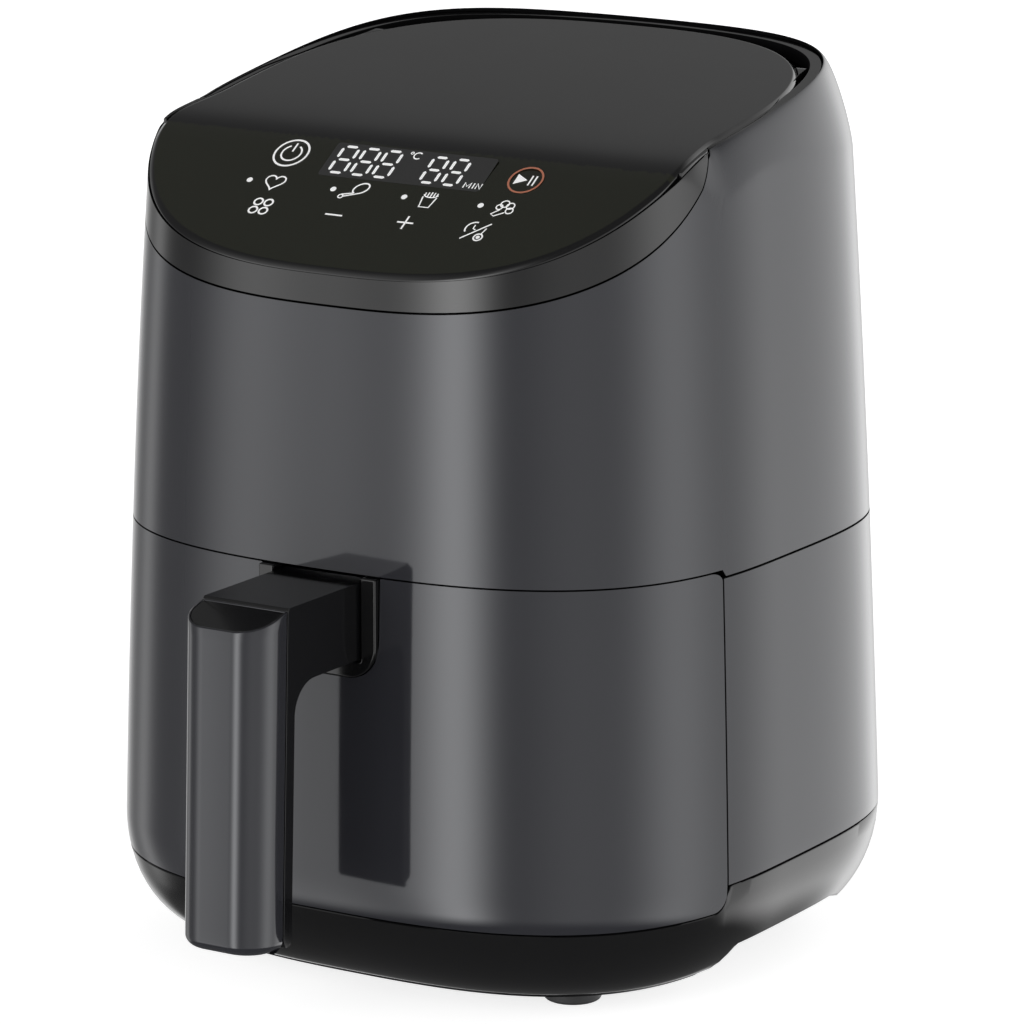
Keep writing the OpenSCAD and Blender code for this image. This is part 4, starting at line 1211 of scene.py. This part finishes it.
FINISHES = {
    "housing_grey": moulded("housing_grey", (0.0205, 0.0208, 0.0245), 0.07, 0.012, 0.03,
                            tint=(0.97, 0.98, 1.0)),
    "gloss_black": moulded("gloss_black", (0.0045, 0.0045, 0.0048), 0.10, 0.012, 0.05),
    "base_black": moulded("base_black", (0.005, 0.005, 0.0053), 0.11, 0.02, 0.06),
    "handle_black": moulded("handle_black", (0.0045, 0.0045, 0.005), 0.13, 0.02, 0.06),
    "inner_black": moulded("inner_black", (0.018, 0.018, 0.019), 0.5, 0.05, 0.08, bump=0.25),
    "rubber": moulded("rubber", (0.02, 0.02, 0.021), 0.62, 0.06, 0.1, bump=0.3, grain=1400.0),
    "steel": moulded("steel", (0.5, 0.5, 0.51), 0.3, 0.06, 0.04, metal=1.0, bump=0.08,
                     stretch=(1.0, 1.0, 9.0), wear=0.1),
    "coated_steel": moulded("coated_steel", (0.022, 0.022, 0.024), 0.42, 0.05, 0.08,
                            bump=0.2, grain=1600.0),
    "element": moulded("element", (0.16, 0.12, 0.10), 0.42, 0.08, 0.25, metal=1.0, bump=0.1),
    "board": moulded("board", (0.015, 0.10, 0.045), 0.4, 0.05, 0.1, bump=0.1),
    "nylon": moulded("nylon", (0.62, 0.60, 0.53), 0.45, 0.05, 0.04, bump=0.1),
    "wire": moulded("wire", (0.3, 0.025, 0.025), 0.4, 0.05, 0.08, bump=0.1),
    "motor": moulded("motor", (0.42, 0.42, 0.43), 0.35, 0.06, 0.05, metal=1.0, bump=0.08,
                     stretch=(1.0, 1.0, 6.0)),
    "print_white": moulded("print_white", (0.85, 0.85, 0.85), 0.35, 0.04, 0.02),
    "print_copper": moulded("print_copper", (0.52, 0.19, 0.115), 0.35, 0.04, 0.04),
    "display": moulded("display", (0.034, 0.034, 0.034), 0.12, 0.01, 0.04),
    # Near-black finish with almost no sheen: painted shade for the seam bevels, gap walls and inner
    # faces of the shells.
    "painted_gap_shade": moulded("painted_gap_shade", (0.003, 0.003, 0.0032), 0.7, 0.05, 0.1, ior=1.08),
    "panel_glass": moulded("panel_glass", (0.0125, 0.0135, 0.0078), 0.08, 0.01, 0.03),
}

print_lit = FINISHES["print_white"].node_tree.nodes["Principled BSDF"]
print_lit.inputs["Emission Color"].default_value = (1, 1, 1, 1)
print_lit.inputs["Emission Strength"].default_value = 0.25

for obj in built:
    obj.data.materials.append(FINISHES[obj["finish"]])
    # Pieces with slot-1 faces get the near-black painted-shade finish on those faces.
    if any(f.material_index == 1 for f in obj.data.polygons):
        obj.data.materials.append(FINISHES["painted_gap_shade"])

cover.data.materials.append(FINISHES["panel_glass"])
for f in cover.data.polygons:
    y = sum((cover.data.vertices[v].co.y for v in f.vertices)) / len(f.vertices) / MM - BODY_Y
    if y < -40.5 and f.normal.z > 0.75:
        f.material_index = 1

replaced = {"upper_housing", "lower_housing", "front_band", "base_shell", "top_cover", "top_rim",
            "drawer_front", "handle_collar", "handle_cover", "handle_cap", "handle_body", "basket",
            "foot_front_left", "foot_front_right", "foot_rear_left", "foot_rear_right"}
slots = {s["node"]: s["material_slot"] for s in record["subparts"]}
SOFT_EDGES = {"crisper_plate": 0.25, "rear_vent_grille": 0.3, "cord_gland": 0.4, "basket_bracket": 0.3,
              "rail_left": 0.2, "rail_right": 0.2, "front_frame": 0.3, "cavity_liner": 0.2,
              "intake_grille": 0.2, "plate_bumpers": 0.3, "fan_motor": 0.4, "motor_deck": 0.3,
              "interlock_switch": 0.3, "base_screws": 0.2, "motor_screws": 0.3, "handle_screws": 0.3}
for name, obj in nodes.items():
    if name in replaced:
        continue
    obj.data.materials.clear()
    obj.data.materials.append(FINISHES[slots[name]])
    if name in SOFT_EDGES:
        mod = obj.modifiers.new("edge", "BEVEL")
        mod.width = SOFT_EDGES[name] * MM
        mod.segments = 2
        mod.limit_method = "ANGLE"
        mod.angle_limit = math.radians(40)
        mod.harden_normals = True

# ---- Floor, studio light and camera ----

floor_mesh = bpy.data.meshes.new("floor")
FLOOR_R, FLOOR_N = 14.0, 64
floor_bm = bmesh.new()
floor_line = arc(0, 0, FLOOR_R, 0, 360, FLOOR_N)[:-1]
floor_bm.faces.new([floor_bm.verts.new((u, v, 0.0)) for u, v in floor_line])
floor_bm.to_mesh(floor_mesh)
floor_bm.free()
floor = bpy.data.objects.new("floor", floor_mesh)
bpy.context.scene.collection.objects.link(floor)
floor_mat, floor_tree, floor_shader, floor_pos = node_kit("floor")
floor_mesh.materials.append(floor_mat)
floor_shader.inputs["Roughness"].default_value = 1.0
floor_shader.inputs["Specular IOR Level"].default_value = 0.0
pale = tinted(floor_tree, noise(floor_tree, floor_pos, 2.0, 1.0), (0.78, 0.78, 0.78), (0.8, 0.8, 0.8))
floor_tree.links.new(pale, floor_shader.inputs["Base Color"])
floor_shader.inputs["Emission Color"].default_value = (1, 1, 1, 1)
floor_shader.inputs["Emission Strength"].default_value = 0.78
floor.visible_glossy = False

# Each strip of the studio: heading in degrees from straight ahead (positive to the right),
# how wide it looks, its brightness, and how far up it reaches.
BASE_LEVEL = 0.32
LOW, TALL = (0.12, 0.42), (0.3, 0.85)
STRIPS = {
    "key_left": (-8.5, 8.5, 4.3, TALL),
    "fill_left": (-42.0, 10.5, 1.75, TALL),
    "side_left": (-97.0, 6.5, 0.65, LOW),
    "back_left": (-134.0, 11.0, 0.55, LOW),
    "back": (180.0, 13.0, 1.6, TALL),
    "back_right": (155.0, 13.0, 1.1, TALL),
    "side_right": (104.0, 19.0, 2.05, TALL),
    "front_right": (45.0, 21.0, 0.58, LOW),
}
FLOOR_LEVEL = 0.12
HIGH_LEVEL = 0.18
TOP_LEVEL = 0.19

world = bpy.data.worlds.new("studio")
bpy.context.scene.world = world
world.use_nodes = True
wt = world.node_tree
wt.nodes.clear()
out_node = wt.nodes.new("ShaderNodeOutputWorld")
back_node = wt.nodes.new("ShaderNodeBackground")
wt.links.new(back_node.outputs["Background"], out_node.inputs["Surface"])
coord = wt.nodes.new("ShaderNodeTexCoord")
split = wt.nodes.new("ShaderNodeSeparateXYZ")
wt.links.new(coord.outputs["Generated"], split.inputs["Vector"])
level = wt.nodes.new("ShaderNodeCombineXYZ")
wt.links.new(split.outputs["X"], level.inputs["X"])
wt.links.new(split.outputs["Y"], level.inputs["Y"])
heading = wt.nodes.new("ShaderNodeVectorMath")
heading.operation = "NORMALIZE"
wt.links.new(level.outputs["Vector"], heading.inputs["Vector"])


def world_math(op, a, b):
    n = wt.nodes.new("ShaderNodeMath")
    n.operation = op
    for i, v in enumerate((a, b)):
        if isinstance(v, (int, float)):
            n.inputs[i].default_value = v
        elif v is not None:
            wt.links.new(v, n.inputs[i])
    return n.outputs["Value"]


def fade(source, start, end):
    n = wt.nodes.new("ShaderNodeMapRange")
    n.interpolation_type = "SMOOTHSTEP"
    n.inputs["From Min"].default_value = start
    n.inputs["From Max"].default_value = end
    wt.links.new(source, n.inputs["Value"])
    return n.outputs["Result"]


def blend_to(value, goal, factor):
    """Value moved towards a steady goal by factor."""
    keep = world_math("SUBTRACT", 1.0, factor)
    return world_math("ADD", world_math("MULTIPLY", value, keep), world_math("MULTIPLY", factor, goal))


height = split.outputs["Z"]
total = None
for name, (angle, width, power, reach) in STRIPS.items():
    d = wt.nodes.new("ShaderNodeVectorMath")
    d.operation = "DOT_PRODUCT"
    d.label = name
    wt.links.new(heading.outputs["Vector"], d.inputs[0])
    d.inputs[1].default_value = (math.sin(math.radians(angle)), -math.cos(math.radians(angle)), 0.0)
    k = 1 / math.radians(width) ** 2
    off_axis = world_math("MULTIPLY", world_math("SUBTRACT", d.outputs["Value"], 1.0), k)
    glow = world_math("MULTIPLY", world_math("EXPONENT", off_axis, None), power)
    glow = blend_to(glow, 0.0, fade(height, *reach))
    total = glow if total is None else world_math("ADD", total, glow)
ambient = blend_to(BASE_LEVEL, HIGH_LEVEL, fade(height, *LOW))
ambient = blend_to(ambient, TOP_LEVEL, fade(height, 0.5, 0.8))
total = world_math("ADD", total, ambient)
below = world_math("MULTIPLY", height, -1.0)
total = blend_to(total, FLOOR_LEVEL, fade(below, 0.46, 0.58))
wt.links.new(total, back_node.inputs["Strength"])
back_node.inputs["Color"].default_value = (1, 1, 1, 1)

CAMERA_PLACE = Vector((0.90463, -1.42978 + BODY_Y * MM, 0.52657))
CAMERA_AIM = Vector((-0.5171, 0.8248, -0.2288)).normalized()
CAMERA_RIGHT = Vector((0.8473, 0.5312, 0.0)).normalized()
camera_data = bpy.data.cameras.new("camera")
camera_data.lens = 204.93
camera_data.sensor_width = 36.0
camera_data.dof.use_dof = False
camera = bpy.data.objects.new("camera", camera_data)
bpy.context.scene.collection.objects.link(camera)
up = CAMERA_RIGHT.cross(CAMERA_AIM)
axes = Matrix((CAMERA_RIGHT, up, -CAMERA_AIM)).transposed().to_4x4()
camera.matrix_world = Matrix.Translation(CAMERA_PLACE) @ axes
bpy.context.scene.camera = camera
bpy.context.scene.view_settings.view_transform = "Standard"
